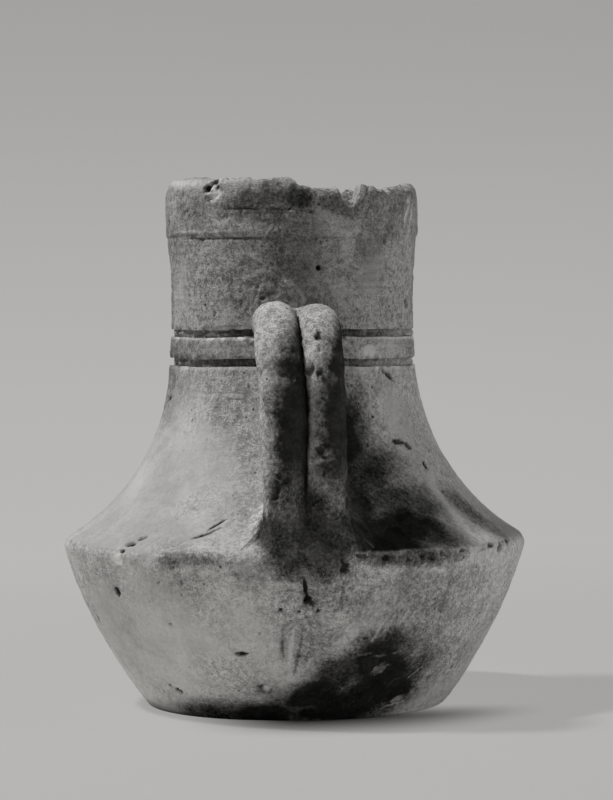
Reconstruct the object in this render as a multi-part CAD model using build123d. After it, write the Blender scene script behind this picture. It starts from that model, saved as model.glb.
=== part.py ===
from build123d import *
import math
import os

# Wide-necked water jar of fired clay with a sharp shoulder edge and a handle of two clay rolls.
# The potter's members are separate solids: floor disc, lower bowl, shoulder, neck and rim, each
# lapped onto the one below, a coil pressed into the inner seam, two handle rolls pressed into
# the wet wall, and the luting clay that is smeared round both ends of the handle.
# Millimetres. Origin at the centre of the underside, +Z up, the handle towards -Y.

# Body
BASE_R = 85.0  # foot of the lower wall, before its edge is rounded
BASE_ROUND = 3.5
EDGE_R = 133.5  # shoulder edge, where the two walls would meet if it were sharp
EDGE_Z = 95.5
EDGE_ROUND = 6.0
LOWER_BULGE = 5.5  # how far the lower wall swells out of its straight line
SHOULDER_ARC_R = 122.5  # hollow sweep from the edge up to the neck
WALL = 8.0
FLOOR = 10.0

# Neck and rim
NECK_R = 70.8  # where the shoulder's sweep turns upright
NECK_WALL = 7.8
NECK_HEIGHT = 65.6  # from there up to the rim
WAIST_TUCK = 1.0  # the neck draws in by this much, halfway up
NECK_FLARE = 0.6  # and is this much wider at its top
RIM_STEP = 1.0  # the rim stands out past the top of the neck
RIM_HEIGHT = 32.0
RIM_ROUND = 3.0

# Turned grooves round the neck
GROOVE_DROP = 7.8  # lower edge of the lower groove, below the top of the shoulder's sweep
GROOVE_WIDTH = 3.9
GROOVE_DEPTH = 2.4
BAND_HEIGHT = 12.5  # raised band left between the two grooves

# Seams between the members
LAP = 8.0  # depth of one member's spigot inside the next
FOOT_WIDTH = 17.0  # standing ring of the bowl, from its outer foot to the floor disc
DISC_LEDGE = 6.0  # step by which the disc rests on that ring
COIL_R = 6.5  # coil pressed into the inner corner of the shoulder edge
COIL_SET = 4.5  # from that corner to the coil's middle

# Handle
ROLL_R = 12.0
ROLL_SQUEEZE = 0.8  # flattening of each roll where the two are pressed together
HANDLE_RISE = 17.6  # middle of the left roll's top above the shoulder's sweep
RIGHT_DROP = 2.0  # the right roll lies that much lower
FOOT_SET = 14.5  # middle of the rolls' feet in from the shoulder edge
HANDLE_BULGE = 11.0  # the bend stands out that much further than the feet
BEND_R = 27.0
HANDLE_LEAN = 1.6  # degrees, the top towards -X
SEAT_DEPTH = 3.0  # how far the rolls are pressed into the wall
FOOT_LIFT = 3.0  # the rolls stand on the shoulder, that far above the seam at its edge

# Luting clay
LUTING = 6.5  # beyond the rolls where it meets the wall
LUTING_FEATHER = 1.5  # how far its far end sinks into the rolls
LUTING_ROUND = 9.0
TOP_LUTING_LENGTH = 9.0  # along the handle, out from the neck
FOOT_LUTING_HEIGHT = 36.0  # up the handle from the shoulder edge
SMEAR = 1.6  # thickness of the clay dragged down over the edge
SMEAR_LENGTH = 24.0
SMEAR_TAPER = 8.0  # narrowing of the smear on each side

# Bites broken out of the lip: degrees from the handle towards +X, width and depth
BITES = (
    (23.5, 20.0, 10.3),
    (13.0, 46.0, 6.4),
    (46.0, 56.0, 3.8),
    (66.0, 14.0, 4.2),
    (96.0, 46.0, 3.6),
    (133.0, 34.0, 6.5),
    (176.0, 58.0, 3.4),
    (228.0, 34.0, 5.4),
    (266.0, 40.0, 2.6),
    (316.0, 16.0, 1.6),
)

# Worked out from the sizes above
SHOULDER_REACH = NECK_R + SHOULDER_ARC_R
SHOULDER_TOP = EDGE_Z + math.sqrt(SHOULDER_ARC_R**2 - (SHOULDER_REACH - EDGE_R) ** 2)
SHOULDER_CENTRE = Vector(SHOULDER_REACH, SHOULDER_TOP)
LOWER_CHORD = Vector(EDGE_R - BASE_R, EDGE_Z)
LOWER_ARC_R = (LOWER_CHORD.length**2 / 4 + LOWER_BULGE**2) / (2 * LOWER_BULGE)
LOWER_INWARD = Vector(-LOWER_CHORD.Y, LOWER_CHORD.X).normalized()
LOWER_CENTRE = Vector(BASE_R, 0) + LOWER_CHORD / 2 + LOWER_INWARD * (LOWER_ARC_R - LOWER_BULGE)
BORE_R = NECK_R - NECK_WALL
NECK_TOP_R = NECK_R + NECK_FLARE
RIM_R = NECK_TOP_R + RIM_STEP
RIM_Z = SHOULDER_TOP + NECK_HEIGHT
HEIGHT = RIM_Z + RIM_HEIGHT
GROOVE_Z = SHOULDER_TOP - GROOVE_DROP
UPPER_GROOVE_Z = GROOVE_Z + GROOVE_WIDTH + BAND_HEIGHT
GROOVE_R = NECK_R - GROOVE_DEPTH
DISC_R = BASE_R - FOOT_WIDTH
ROLL_OFFSET = ROLL_R - ROLL_SQUEEZE
HANDLE_HALF_WIDTH = ROLL_OFFSET + ROLL_R
FOOT_R = EDGE_R - FOOT_SET
HANDLE_Z = SHOULDER_TOP + HANDLE_RISE
BEYOND = 2 * HEIGHT  # larger than anything in the jar


def arc_about(centre, start, end):
    """Short arc from start to end round a centre."""
    outward = ((start + end) / 2 - centre).normalized()
    return ThreePointArc(start, centre + outward * (start - centre).length, end)


def edge_corner(inset):
    """Where the lower wall meets the shoulder, both set in by inset."""
    lower_r = LOWER_ARC_R - inset
    shoulder_r = SHOULDER_ARC_R + inset
    gap = SHOULDER_CENTRE - LOWER_CENTRE
    along = (gap.length**2 + lower_r**2 - shoulder_r**2) / (2 * gap.length)
    across = math.sqrt(lower_r**2 - along**2)
    way = gap.normalized()
    return LOWER_CENTRE + way * along + Vector(way.Y, -way.X) * across


def lower_wall_r(z, inset):
    """Radius of the lower wall at height z, set in by inset."""
    return LOWER_CENTRE.X + math.sqrt((LOWER_ARC_R - inset) ** 2 - (z - LOWER_CENTRE.Y) ** 2)


def band(r_low, r_high, z_low, z_high):
    """Rectangle of the half section between two radii and two heights."""
    middle = Pos((r_low + r_high) / 2, (z_low + z_high) / 2)
    return middle * Rectangle(r_high - r_low, z_high - z_low)


def round_corner(section, point, radius):
    """Section with the corner nearest to a point rounded."""
    return fillet(section.vertices().sort_by_distance(point)[0], radius)


def form_section(inset):
    """Half section of the whole jar, solid to its axis, with its surface set in by inset."""
    foot = Vector(lower_wall_r(0, inset), 0)
    corner = edge_corner(inset)
    root = Vector(NECK_R - inset, SHOULDER_TOP)
    waist = Vector(NECK_R - WAIST_TUCK - inset, SHOULDER_TOP + NECK_HEIGHT / 2)
    neck_top = Vector(NECK_TOP_R - inset, RIM_Z)
    rim = RIM_R - inset
    closing = Polyline(neck_top, (rim, RIM_Z), (rim, HEIGHT), (0, HEIGHT), (0, 0), foot)
    lower = arc_about(LOWER_CENTRE, foot, corner)
    shoulder = arc_about(SHOULDER_CENTRE, corner, root)
    return make_face([lower, shoulder, ThreePointArc(root, waist, neck_top), *closing.edges()])


def outer_section():
    """Half section inside the jar's finished outer surface."""
    section = round_corner(form_section(0), (EDGE_R, EDGE_Z), EDGE_ROUND)
    section = round_corner(section, (BASE_R, 0), BASE_ROUND)
    for z in (GROOVE_Z, UPPER_GROOVE_Z):
        section -= band(GROOVE_R, BEYOND, z, z + GROOVE_WIDTH)
    return section


def cavity_section():
    """Half section of the inside: the body's hollow and the straight bore of the neck."""
    hollow = form_section(WALL) & band(0, BEYOND, FLOOR, SHOULDER_TOP)
    return hollow + band(0, BORE_R, EDGE_Z, BEYOND)


def wall_section():
    """Half section of the clay between floor and lip, with the lip's two corners rounded."""
    section = outer_section() - cavity_section()
    return fillet(section.vertices().group_by(Axis.Y)[-1], RIM_ROUND)


def under_seam(z, split_r):
    """Part of the half section below a lapped seam, whose upper member has the inner spigot."""
    return band(0, BEYOND, -BEYOND, z - LAP) + band(split_r, BEYOND, z - LAP, z)


def turned(section):
    """Solid that a half section sweeps round the jar's axis."""
    return revolve(Plane.XZ * section, Axis.Z)


def bite(angle, width, depth):
    """Tool that breaks a shallow scoop out of the lip."""
    radius = (width**2 / 4 + depth**2) / (2 * depth)
    across = Pos(0, -RIM_R, HEIGHT - depth + radius) * Rot(90, 0, 0) * Cylinder(radius, 2 * RIM_R)
    return Rot(0, 0, angle) * across


def leaning(solid):
    """Handle piece tilted sideways about its foot."""
    return solid.rotate(Axis((0, 0, EDGE_Z), (0, -1, 0)), HANDLE_LEAN)


def roll_r(z):
    """Jar axis to the middle of the rolls at height z of their straight run."""
    return FOOT_R + HANDLE_BULGE * (z - EDGE_Z) / (HANDLE_Z - EDGE_Z)


def handle_roll(side, drop):
    """Clay roll from the neck out, down and onto the shoulder edge, on the -X or +X side."""
    x = side * ROLL_OFFSET
    top = HANDLE_Z - drop
    low = EDGE_Z - ROLL_R
    path = FilletPolyline((x, -BORE_R, top), (x, -roll_r(top), top), (x, -roll_r(low), low), radius=BEND_R)
    roll = sweep(Plane(path @ 0, z_dir=path % 0) * Circle(ROLL_R), path)
    own_side = Pos(side * BEYOND / 2, 0, 0) * Box(BEYOND, BEYOND, BEYOND)
    above_foot = Pos(0, 0, EDGE_Z + FOOT_LIFT + BEYOND / 2) * Box(BEYOND, BEYOND, BEYOND)
    return (leaning(roll & own_side) & above_foot) - turned(form_section(SEAT_DEPTH))


def pad_face(plane, half_width, half_depth):
    """Rounded outline of a luting pad on a plane across the handle."""
    return plane * RectangleRounded(2 * half_width, 2 * half_depth, LUTING_ROUND)


def top_luting():
    """Clay worked round the upper end of the handle, widening onto the neck."""
    z = HANDLE_Z - RIGHT_DROP / 2
    wide_plane = Plane((0, -BORE_R, z), x_dir=(1, 0, 0), z_dir=(0, -1, 0))
    wide = pad_face(wide_plane, HANDLE_HALF_WIDTH + LUTING, ROLL_R + LUTING)
    tip_plane = wide_plane.offset(NECK_WALL + TOP_LUTING_LENGTH)
    tip = pad_face(tip_plane, HANDLE_HALF_WIDTH - LUTING_FEATHER, ROLL_R - LUTING_FEATHER)
    return leaning(loft([wide, tip]))


def foot_luting():
    """Clay worked round the feet of the rolls, with a smear dragged down over the edge."""
    wide = pad_face(Plane((0, -FOOT_R, EDGE_Z)), HANDLE_HALF_WIDTH + LUTING, FOOT_SET + SMEAR)
    tip_z = EDGE_Z + FOOT_LUTING_HEIGHT
    tip_plane = Plane((0, -roll_r(tip_z), tip_z))
    tip = pad_face(tip_plane, HANDLE_HALF_WIDTH - LUTING_FEATHER, ROLL_R - LUTING_FEATHER)
    skirt = leaning(loft([wide, tip]))
    top_half = HANDLE_HALF_WIDTH + LUTING - LUTING_ROUND
    low_half = top_half - SMEAR_TAPER
    low_z = EDGE_Z - SMEAR_LENGTH
    top_corners = ((-top_half, EDGE_Z), (top_half, EDGE_Z))
    low_corners = ((low_half, low_z), (-low_half, low_z))
    smear = extrude(Plane.XZ * make_face(Polyline(*top_corners, *low_corners, close=True)), BEYOND)
    skin = round_corner(form_section(-SMEAR), (EDGE_R, EDGE_Z), EDGE_ROUND + SMEAR)
    return skirt + (smear & turned(skin))


def members():
    """Every piece of the jar by name."""
    wall = wall_section()
    lap_z = EDGE_Z - LAP
    edge_split = (lower_wall_r(lap_z, 0) + lower_wall_r(lap_z, WALL)) / 2
    neck_split = (BORE_R + NECK_R) / 2
    below_edge = under_seam(EDGE_Z, edge_split)
    below_neck = under_seam(GROOVE_Z, neck_split)
    below_rim = under_seam(RIM_Z, neck_split)
    seat = FLOOR / 2
    disc = band(0, DISC_R, 0, seat) + band(0, DISC_R + DISC_LEDGE, seat, FLOOR)
    corner = edge_corner(WALL)
    coil = (Pos(corner.X - COIL_SET, corner.Y) * Circle(COIL_R)) & cavity_section()

    left = handle_roll(-1, 0)
    right = handle_roll(1, RIGHT_DROP)
    jar = turned(outer_section())
    rim = turned(wall - below_rim)
    for angle, width, depth in BITES:
        rim -= bite(angle, width, depth)
    return {
        "base_disc": turned(disc),
        "lower_bowl": turned(wall & below_edge) - turned(disc),
        "seam_coil": turned(coil),
        "shoulder_cone": turned((wall & below_neck) - below_edge) - left - right,
        "neck_tube": turned((wall & below_rim) - below_neck) - left - right,
        "rim_coil": rim,
        "handle_roll_left": left,
        "handle_roll_right": right,
        "handle_top_luting": top_luting() - jar - left - right,
        "handle_foot_luting": foot_luting() - jar - left - right,
    }


os.makedirs("parts", exist_ok=True)
for name, solid in members().items():
    export_step(solid, f"parts/{name}.step")
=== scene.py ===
"""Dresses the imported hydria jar: weathered clay members, their finishes, a studio sweep, lamps and camera."""

import itertools
import logging
import math
from collections.abc import Callable, Iterable
from dataclasses import dataclass
from enum import Enum
from functools import cached_property, partial

import bpy
import numpy as np
from mathutils import Matrix, Vector


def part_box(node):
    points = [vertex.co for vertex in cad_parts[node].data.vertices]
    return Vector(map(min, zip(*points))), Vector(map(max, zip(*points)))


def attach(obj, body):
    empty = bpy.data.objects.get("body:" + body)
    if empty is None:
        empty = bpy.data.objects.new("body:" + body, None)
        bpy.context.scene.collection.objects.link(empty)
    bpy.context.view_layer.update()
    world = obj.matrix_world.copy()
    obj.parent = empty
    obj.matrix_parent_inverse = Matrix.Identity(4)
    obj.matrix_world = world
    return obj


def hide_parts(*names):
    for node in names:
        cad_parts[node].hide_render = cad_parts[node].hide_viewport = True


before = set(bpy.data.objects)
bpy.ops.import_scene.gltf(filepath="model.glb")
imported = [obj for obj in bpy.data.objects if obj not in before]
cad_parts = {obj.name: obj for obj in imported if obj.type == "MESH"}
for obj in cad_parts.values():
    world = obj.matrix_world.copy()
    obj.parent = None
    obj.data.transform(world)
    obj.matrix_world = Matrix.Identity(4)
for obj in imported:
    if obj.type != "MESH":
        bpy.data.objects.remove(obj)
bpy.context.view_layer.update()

LOG = logging.getLogger("hydria")

Array = np.ndarray
Field = Callable[[Array], Array]
Piece = bpy.types.Object
Material = bpy.types.Material
Group = bpy.types.NodeTree
Socket = bpy.types.NodeSocket

MM = 0.001
BODY = "root"
SEGMENTS = 640  # faces round each turned member
INNER_STEP = 5.0 * MM  # row height on surfaces that are seldom seen
SEAM_STEP = 1.6 * MM
TOUCHING = 0.01 * MM  # points closer than that are one point
DOUBLES = 0.02 * MM
SLOPE_REACH = 0.05 * MM  # half the distance over which slopes are measured
SHARP_ANGLE = math.radians(58)
HASH_PRIMES = (374761393, 668265263, 2147483647)
SEED_PRIME = 1446641
MIX_PRIME = 1274126177


def lattice(points: Array, seed: int) -> Array:
    """Smooth value noise on a unit lattice.

    Args:
        points: Positions, one row each, in lattice units.
        seed: Picks the noise.

    Returns:
        One value between -1 and 1 for each point.
    """
    keys, weights = [], []
    for values, prime in zip(points.T, HASH_PRIMES):
        cell = np.floor(values)
        part = values - cell
        fade = part * part * part * (part * (part * 6 - 15) + 10)
        key = cell.astype(np.int64) * prime
        keys.append((key, key + prime))
        weights.append((1 - fade, fade))
    total = np.zeros(len(points))
    for i, j, k in itertools.product((0, 1), repeat=3):
        key = keys[0][i] + keys[1][j] + keys[2][k] + seed * SEED_PRIME
        key = (key ^ (key >> 13)) * MIX_PRIME
        key ^= key >> 16
        total += weights[0][i] * weights[1][j] * weights[2][k] * ((key & 0xFFFF) / 32767.5 - 1)
    return total


@dataclass(frozen=True)
class Noise:
    """Noise of several sizes laid over each other, each half as large and half as strong.

    Grain is the size of the largest blotches, in metres. Octaves counts the sizes, and seed picks the noise.
    """

    grain: float
    octaves: int
    seed: int

    def at(self, points: Array) -> Array:
        """One value for each point, mostly between -1 and 1."""
        total = np.zeros(len(points))
        for octave in range(self.octaves):
            total += lattice(points * 2**octave / self.grain, self.seed + octave) / 2**octave
        return total


WAVES = Noise(75 * MM, 2, 1)
LUMPS = Noise(15 * MM, 2, 5)
PATCHES = Noise(30 * MM, 2, 9)
EROSION = Noise(4.2 * MM, 3, 13)
HOLLOWS = Noise(3.2 * MM, 3, 13)
TURNING = Noise(3.4 * MM, 3, 19)
FLAKES = Noise(10 * MM, 3, 25)
KNOCKS = Noise(14 * MM, 3, 31)
LINE_BREAKS = Noise(9 * MM, 3, 37)
NIBBLES = [Noise(6 * MM, 3, seed) for seed in range(41, 45)]
WANDER = Noise(22 * MM, 3, 47)
GROOVE_SHADE_EDGE = Noise(24 * MM, 2, 49)
CHOKES = Noise(11 * MM, 3, 51)
STAIN_EDGE = Noise(20 * MM, 4, 53)
CHIP_EDGE = Noise(3 * MM, 3, 57)
NICKS = Noise(9 * MM, 3, 61)
NOTCHES = Noise(6 * MM, 2, 67)
SMEAR_EDGE = Noise(5 * MM, 2, 71)
FINGERS = Noise(8 * MM, 2, 83)
CRUMBS = Noise(3.8 * MM, 3, 89)
PIT_EDGE = Noise(2.6 * MM, 2, 97)
SOOT_AND_SHADE_EDGE = Noise(7 * MM, 3, 101)
SOOT_AND_SHADE_GRAIN = Noise(2.4 * MM, 2, 103)


def squeezed(points: Array, level: float = 1.0, upright: float = 1.0) -> Array:
    """Points drawn together, so that noise on them is drawn out."""
    return points * np.array([level, level, upright])


def azimuths(points: Array) -> Array:
    """Degrees of points round the jar, from the handle towards +X."""
    return np.degrees(np.arctan2(points[:, 0], -points[:, 1]))


def bell(values: Array, middle: float, reach: Array | float) -> Array:
    """Smooth hump of height 1 round a middle."""
    return np.exp(-(((values - middle) / reach) ** 2))


def ramp(values: Array, low: float, high: float) -> Array:
    """Smooth step from 0 at low to 1 at high."""
    share = np.clip((values - low) / (high - low), 0, 1)
    return share * share * (3 - 2 * share)


def soft_min(first: Array, second: Array, reach: Array | float) -> Array:
    """Smaller of two distances, with the crease between them filled over a reach."""
    share = np.maximum(reach - np.abs(first - second), 0) / reach
    return np.minimum(first, second) - share * share * reach / 4


def round_max(first: Array, second: Array, radius: float) -> Array:
    """Larger of two distances, with the ridge between them rounded."""
    outside = np.hypot(np.maximum(first + radius, 0), np.maximum(second + radius, 0))
    return np.minimum(np.maximum(first, second), -radius) + outside


class Outline:
    """Half section drawn run by run. A step is the longest way between two points of a run."""

    def __init__(self, start: Iterable[float]) -> None:
        """Begin at a radius and height."""
        self.points = [Vector(start)]

    def add(self, points: Iterable[Vector]) -> "Outline":
        """Go through points, but for those that lie on the point before."""
        for point in points:
            if (point - self.points[-1]).length > TOUCHING:
                self.points.append(point)
        return self

    def line(self, step: float, *ends: Iterable[float]) -> "Outline":
        """Go straight to each end in turn."""
        for end in map(Vector, ends):
            start = self.points[-1]
            count = max(1, math.ceil((end - start).length / step))
            self.add(start.lerp(end, i / count) for i in range(1, count + 1))
        return self

    def arc(self, step: float, centre: Vector, end: Iterable[float]) -> "Outline":
        """Go round a centre, the short way."""
        first, last = self.points[-1] - centre, Vector(end) - centre
        begin = math.atan2(first.y, first.x)
        turn = math.remainder(math.atan2(last.y, last.x) - begin, math.tau)
        count = max(1, math.ceil(abs(turn) * first.length / step))
        angles = [begin + turn * i / count for i in range(1, count + 1)]
        return self.add(centre + first.length * Vector((math.cos(a), math.sin(a))) for a in angles)


@dataclass(frozen=True)
class JarForm:
    """Sizes of the jar's surfaces and the distances to them. Half sections are (radius, height)."""

    edge_z: float
    groove_z: float
    rim_z: float
    height: float
    rim_r: float
    base_r: float = 85.0 * MM
    base_round: float = 3.5 * MM
    edge_r: float = 133.5 * MM
    edge_round: float = 6.0 * MM
    lower_bulge: float = 5.5 * MM
    shoulder_arc_r: float = 122.5 * MM
    neck_r: float = 70.8 * MM
    waist_tuck: float = 1.0 * MM
    neck_flare: float = 0.6 * MM
    wall: float = 8.0 * MM
    floor: float = 10.0 * MM
    bore_r: float = 63.0 * MM
    groove_width: float = 4.4 * MM
    groove_depth: float = 2.4 * MM
    band_height: float = 12.2 * MM
    lap: float = 8.0 * MM
    disc_r: float = 68.0 * MM
    disc_ledge: float = 6.0 * MM

    @classmethod
    def from_frame(cls) -> "JarForm":
        """Heights and the rim's radius as the frame has them."""
        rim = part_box("rim_coil")[1]
        return cls(
            edge_z=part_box("lower_bowl")[1].z,
            groove_z=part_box("shoulder_cone")[1].z,
            rim_z=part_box("neck_tube")[1].z,
            height=rim.z,
            rim_r=rim.x,
        )

    @cached_property
    def shoulder_centre(self) -> Vector:
        """Middle of the shoulder's hollow sweep."""
        reach = self.neck_r + self.shoulder_arc_r
        rise = math.sqrt(self.shoulder_arc_r**2 - (reach - self.edge_r) ** 2)
        return Vector((reach, self.edge_z + rise))

    @cached_property
    def lower_arc(self) -> tuple[Vector, float]:
        """Middle and radius of the lower wall's swelling arc."""
        chord = Vector((self.edge_r - self.base_r, self.edge_z))
        radius = (chord.length_squared / 4 + self.lower_bulge**2) / (2 * self.lower_bulge)
        inward = Vector((-chord.y, chord.x)).normalized()
        middle = Vector((self.base_r, 0)) + chord / 2 + inward * (radius - self.lower_bulge)
        return middle, radius

    def lower_r(self, z: float, inset: float = 0.0) -> float:
        """Radius of the lower wall at a height, set in by inset."""
        middle, radius = self.lower_arc
        return middle.x + math.sqrt((radius - inset) ** 2 - (z - middle.y) ** 2)

    def shoulder_r(self, z: float, inset: float = 0.0) -> float:
        """Radius of the shoulder at a height, set in by inset."""
        rise = self.shoulder_centre.y - z
        return self.shoulder_centre.x - math.sqrt((self.shoulder_arc_r + inset) ** 2 - rise**2)

    def neck_curve(self, z: Array) -> Array:
        """Radius of the neck above the shoulder's sweep, drawn in at its waist."""
        top = self.shoulder_centre.y
        share = np.clip((z - top) / (self.rim_z - top), 0, 1)
        bend = 4 * self.waist_tuck + 2 * self.neck_flare
        neck = self.neck_r + (self.neck_flare - bend) * share + bend * share**2
        return np.where(z > self.rim_z, self.rim_r, neck)

    def edge_corner(self, inset: float) -> Vector:
        """Where the lower wall meets the shoulder, both set in by inset."""
        middle, radius = self.lower_arc
        gap = self.shoulder_centre - middle
        lower, shoulder = radius - inset, self.shoulder_arc_r + inset
        along = (gap.length_squared + lower**2 - shoulder**2) / (2 * gap.length)
        way = gap.normalized()
        return middle + way * along + Vector((way.y, -way.x)) * math.sqrt(lower**2 - along**2)

    def clearance(self, points: Array) -> Array:
        """Distance of each point outside the jar's smooth outer surface, negative in the clay."""
        radius, z = np.hypot(points[:, 0], points[:, 1]), points[:, 2]
        middle, lower_radius = self.lower_arc
        lower = np.hypot(radius - middle.x, z - middle.y) - lower_radius
        centre = self.shoulder_centre
        shoulder = self.shoulder_arc_r - np.hypot(radius - centre.x, z - centre.y)
        body = round_max(lower, shoulder, self.edge_round)
        return np.where(z < centre.y, body, radius - self.neck_curve(z))

    def surface_point(self, azimuth: float, z: float) -> Vector:
        """Point of the outer surface at an azimuth, in degrees from the handle towards +X."""
        if z < self.edge_z:
            radius = self.lower_r(z)
        elif z < self.shoulder_centre.y:
            radius = self.shoulder_r(z)
        else:
            radius = float(self.neck_curve(np.array([z]))[0])
        radius = min(radius, self.edge_corner(self.edge_round).x + self.edge_round)
        angle = math.radians(azimuth)
        return Vector((radius * math.sin(angle), -radius * math.cos(angle), z))


def outward(distance: Field, points: Array) -> Array:
    """Unit directions in which a distance field grows fastest.

    Args:
        distance: The field.
        points: Positions, one row each.

    Returns:
        One direction for each point.
    """
    steps = SLOPE_REACH * np.eye(3)
    slopes = [distance(points + step) - distance(points - step) for step in steps]
    slope = np.stack(slopes, axis=1)
    return slope / np.maximum(np.linalg.norm(slope, axis=1, keepdims=True), 1e-12)


@dataclass(frozen=True)
class HandleForm:
    """Sizes of the twin-roll handle and the distances to it."""

    jar: JarForm
    roll_r: float = 12.0 * MM
    squeeze: float = 0.8 * MM
    rise: float = 17.6 * MM
    right_drop: float = 2.0 * MM
    foot_set: float = 14.5 * MM
    bulge: float = 11.0 * MM
    bend_r: float = 27.0 * MM
    lean: float = math.radians(1.6)
    sway: float = 2.3 * MM  # how far the crease bends towards +X, and about which height
    sway_z: float = 172.0 * MM
    sway_reach: float = 26.0 * MM
    sway_half_width: float = 24.0 * MM
    seat: float = 4.0 * MM  # the rolls end that deep in the wall
    neck_fillet: float = 1.6 * MM
    foot_fillet: float = 17.0 * MM
    crease_fill: float = 1.2 * MM
    top_crease_fill: float = 7.0 * MM
    top_crease_height: float = 20.0 * MM
    foot_crease_fill: float = 12.0 * MM
    foot_crease_height: float = 26.0 * MM
    smear: float = 1.3 * MM
    smear_length: float = 30.0 * MM
    smear_half_width: float = 24.0 * MM

    @property
    def offset(self) -> float:
        """Middle of a roll from the plane where the two meet."""
        return self.roll_r - self.squeeze

    @property
    def top_z(self) -> float:
        """Height of the left roll's middle where it leaves the neck."""
        return self.jar.shoulder_centre.y + self.rise

    def reach_at(self, z: float) -> float:
        """Jar axis to the middle of the rolls at a height of their straight run."""
        run = self.top_z - self.jar.edge_z
        return self.jar.edge_r - self.foot_set + self.bulge * (z - self.jar.edge_z) / run

    @property
    def run_direction(self) -> Vector:
        """Direction of the straight run, downwards."""
        low, high = self.jar.edge_z, self.top_z
        return Vector((0, self.reach_at(high) - self.reach_at(low), low - high)).normalized()

    @property
    def turn(self) -> float:
        """Angle of the bend between the upper run and the straight run."""
        return Vector((0, -1, 0)).angle(self.run_direction)

    def bend_start(self, drop: float) -> Vector:
        """Point of the path's middle line, at x = 0, where the bend of a roll begins."""
        z = self.top_z - drop
        return Vector((0, self.bend_r * math.tan(self.turn / 2) - self.reach_at(z), z))

    def upright(self, points: Array, way: int = 1) -> Array:
        """Points with the handle's lean and sway taken out, or put in where way is -1."""
        turned = points.copy()
        angle = way * self.lean
        x, z = points[:, 0], points[:, 2] - self.jar.edge_z
        bent = self.sway * bell(points[:, 2], self.sway_z, self.sway_reach)
        bare = x.copy()
        for _ in range(1 if way > 0 else 4):
            x = bare - way * bent * np.clip(1 - (x / self.sway_half_width) ** 2, 0, 1)
        turned[:, 0] = x * math.cos(angle) + z * math.sin(angle)
        turned[:, 2] = z * math.cos(angle) - x * math.sin(angle) + self.jar.edge_z
        return turned

    def roll_distance(self, points: Array, side: int, drop: float) -> Array:
        """Distance of upright points outside one roll."""
        start = self.bend_start(drop)
        y, z = points[:, 1] - start.y, points[:, 2] - start.z
        level = np.hypot(np.minimum(y, 0), z)
        angle = np.arctan2(-y, z + self.bend_r)
        in_bend = (angle > 0) & (angle < self.turn)
        bend = np.where(in_bend, np.abs(np.hypot(y, z + self.bend_r) - self.bend_r), np.inf)
        run = self.run_direction
        y = y + self.bend_r * math.sin(self.turn)
        z = z + self.bend_r * (1 - math.cos(self.turn))
        length = (start.z - self.bend_r * (1 - math.cos(self.turn)) - self.jar.edge_z) / -run.z
        along = np.clip(y * run.y + z * run.z, 0, length)
        straight = np.hypot(y - along * run.y, z - along * run.z)
        middle = np.minimum(np.minimum(level, bend), straight)
        return np.hypot(points[:, 0] - side * self.offset, middle) - self.roll_r

    def roll_point(self, side: int, height: float, angle: float) -> Array:
        """Point of a roll's skin at a height and an angle round it, from its front towards +X."""
        x = side * self.offset + self.roll_r * math.sin(angle)
        y = -self.reach_at(height) - self.roll_r * math.cos(angle)
        point = self.upright(np.array([[x, y, height]]), -1)
        for _ in range(4):
            point -= outward(self.rolls_distance, point) * self.rolls_distance(point)[:, None]
        return point[0]

    def rolls_distance(self, points: Array) -> Array:
        """Distance outside both rolls, with the crease between them filled towards both ends."""
        upright = self.upright(points)
        left = self.roll_distance(upright, -1, 0.0)
        right = self.roll_distance(upright, 1, self.right_drop)
        low = 1 - ramp(upright[:, 2] - self.jar.edge_z, 0, self.foot_crease_height)
        out = np.hypot(points[:, 0], points[:, 1]) - self.jar.neck_r
        high = ramp(upright[:, 2], self.top_z - self.roll_r, self.top_z)
        high *= 1 - ramp(out, 1.0 * self.top_crease_height, 2.0 * self.top_crease_height)
        fill = self.crease_fill + low * self.foot_crease_fill + high * self.top_crease_fill
        return soft_min(left, right, fill)

    def smeared_jar(self, points: Array) -> Array:
        """Distance outside the jar with the clay dragged down below the handle."""
        x, below = np.abs(points[:, 0]), self.jar.edge_z - points[:, 2]
        ragged = 4 * MM * SMEAR_EDGE.at(squeezed(points, upright=0.2))
        width = self.smear_half_width * (1 - 0.35 * np.clip(below / self.smear_length, 0, 1))
        across = 1 - ramp(x + ragged * 0.5, 0.5 * width, width)
        down = ramp(below, -6 * MM, 2 * MM)
        down *= 1 - ramp(below + ragged, 0.3 * self.smear_length, self.smear_length)
        front = points[:, 1] < 0
        return self.jar.clearance(points) - self.smear * across * down * front

    def fillet_at(self, points: Array) -> Array:
        """Reach of the clay filled in between handle and wall, larger at the foot."""
        middle = (self.jar.edge_z + self.top_z) / 2
        return np.where(points[:, 2] > middle, self.neck_fillet, self.foot_fillet)

    def clay(self, points: Array) -> Array:
        """Distance outside jar and handle with the luting worked in between."""
        return soft_min(self.rolls_distance(points), self.smeared_jar(points), self.fillet_at(points))

    def luting_depth(self, points: Array) -> Array:
        """Thickness of the luting over the bare jar and rolls."""
        upright = self.upright(points)
        rolls = np.minimum(
            self.roll_distance(upright, -1, 0.0), self.roll_distance(upright, 1, self.right_drop)
        )
        return np.minimum(rolls, self.jar.clearance(points)) - self.clay(points)


class Scar(Enum):
    """Kind of mark: a soft dent, a chip with a torn edge, a stained patch or a painted shadow or light, or a
    patch of other skin.
    """

    SOFT = "soft"
    TORN = "torn"
    STAIN = "stain_or_painted_light"
    SKIN = "skin"


@dataclass(frozen=True)
class Mark:
    """One mark of use, or a painted shadow or strip of light, placed on the outer wall.

    Azimuth and turn are degrees: from the handle towards +X, and from level, anticlockwise as seen.
    Height, length, width and depth are millimetres. Tone runs from -1, black, to 1, pale, and for
    skin from -1, smooth, to 1, open and grainy.
    """

    scar: Scar
    azimuth: float
    height: float
    length: float
    width: float
    turn: float = 0.0
    depth: float = 0.0
    tone: float = 0.0


soft, torn, stain_or_painted_light, skin = (partial(Mark, scar) for scar in Scar)

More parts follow.
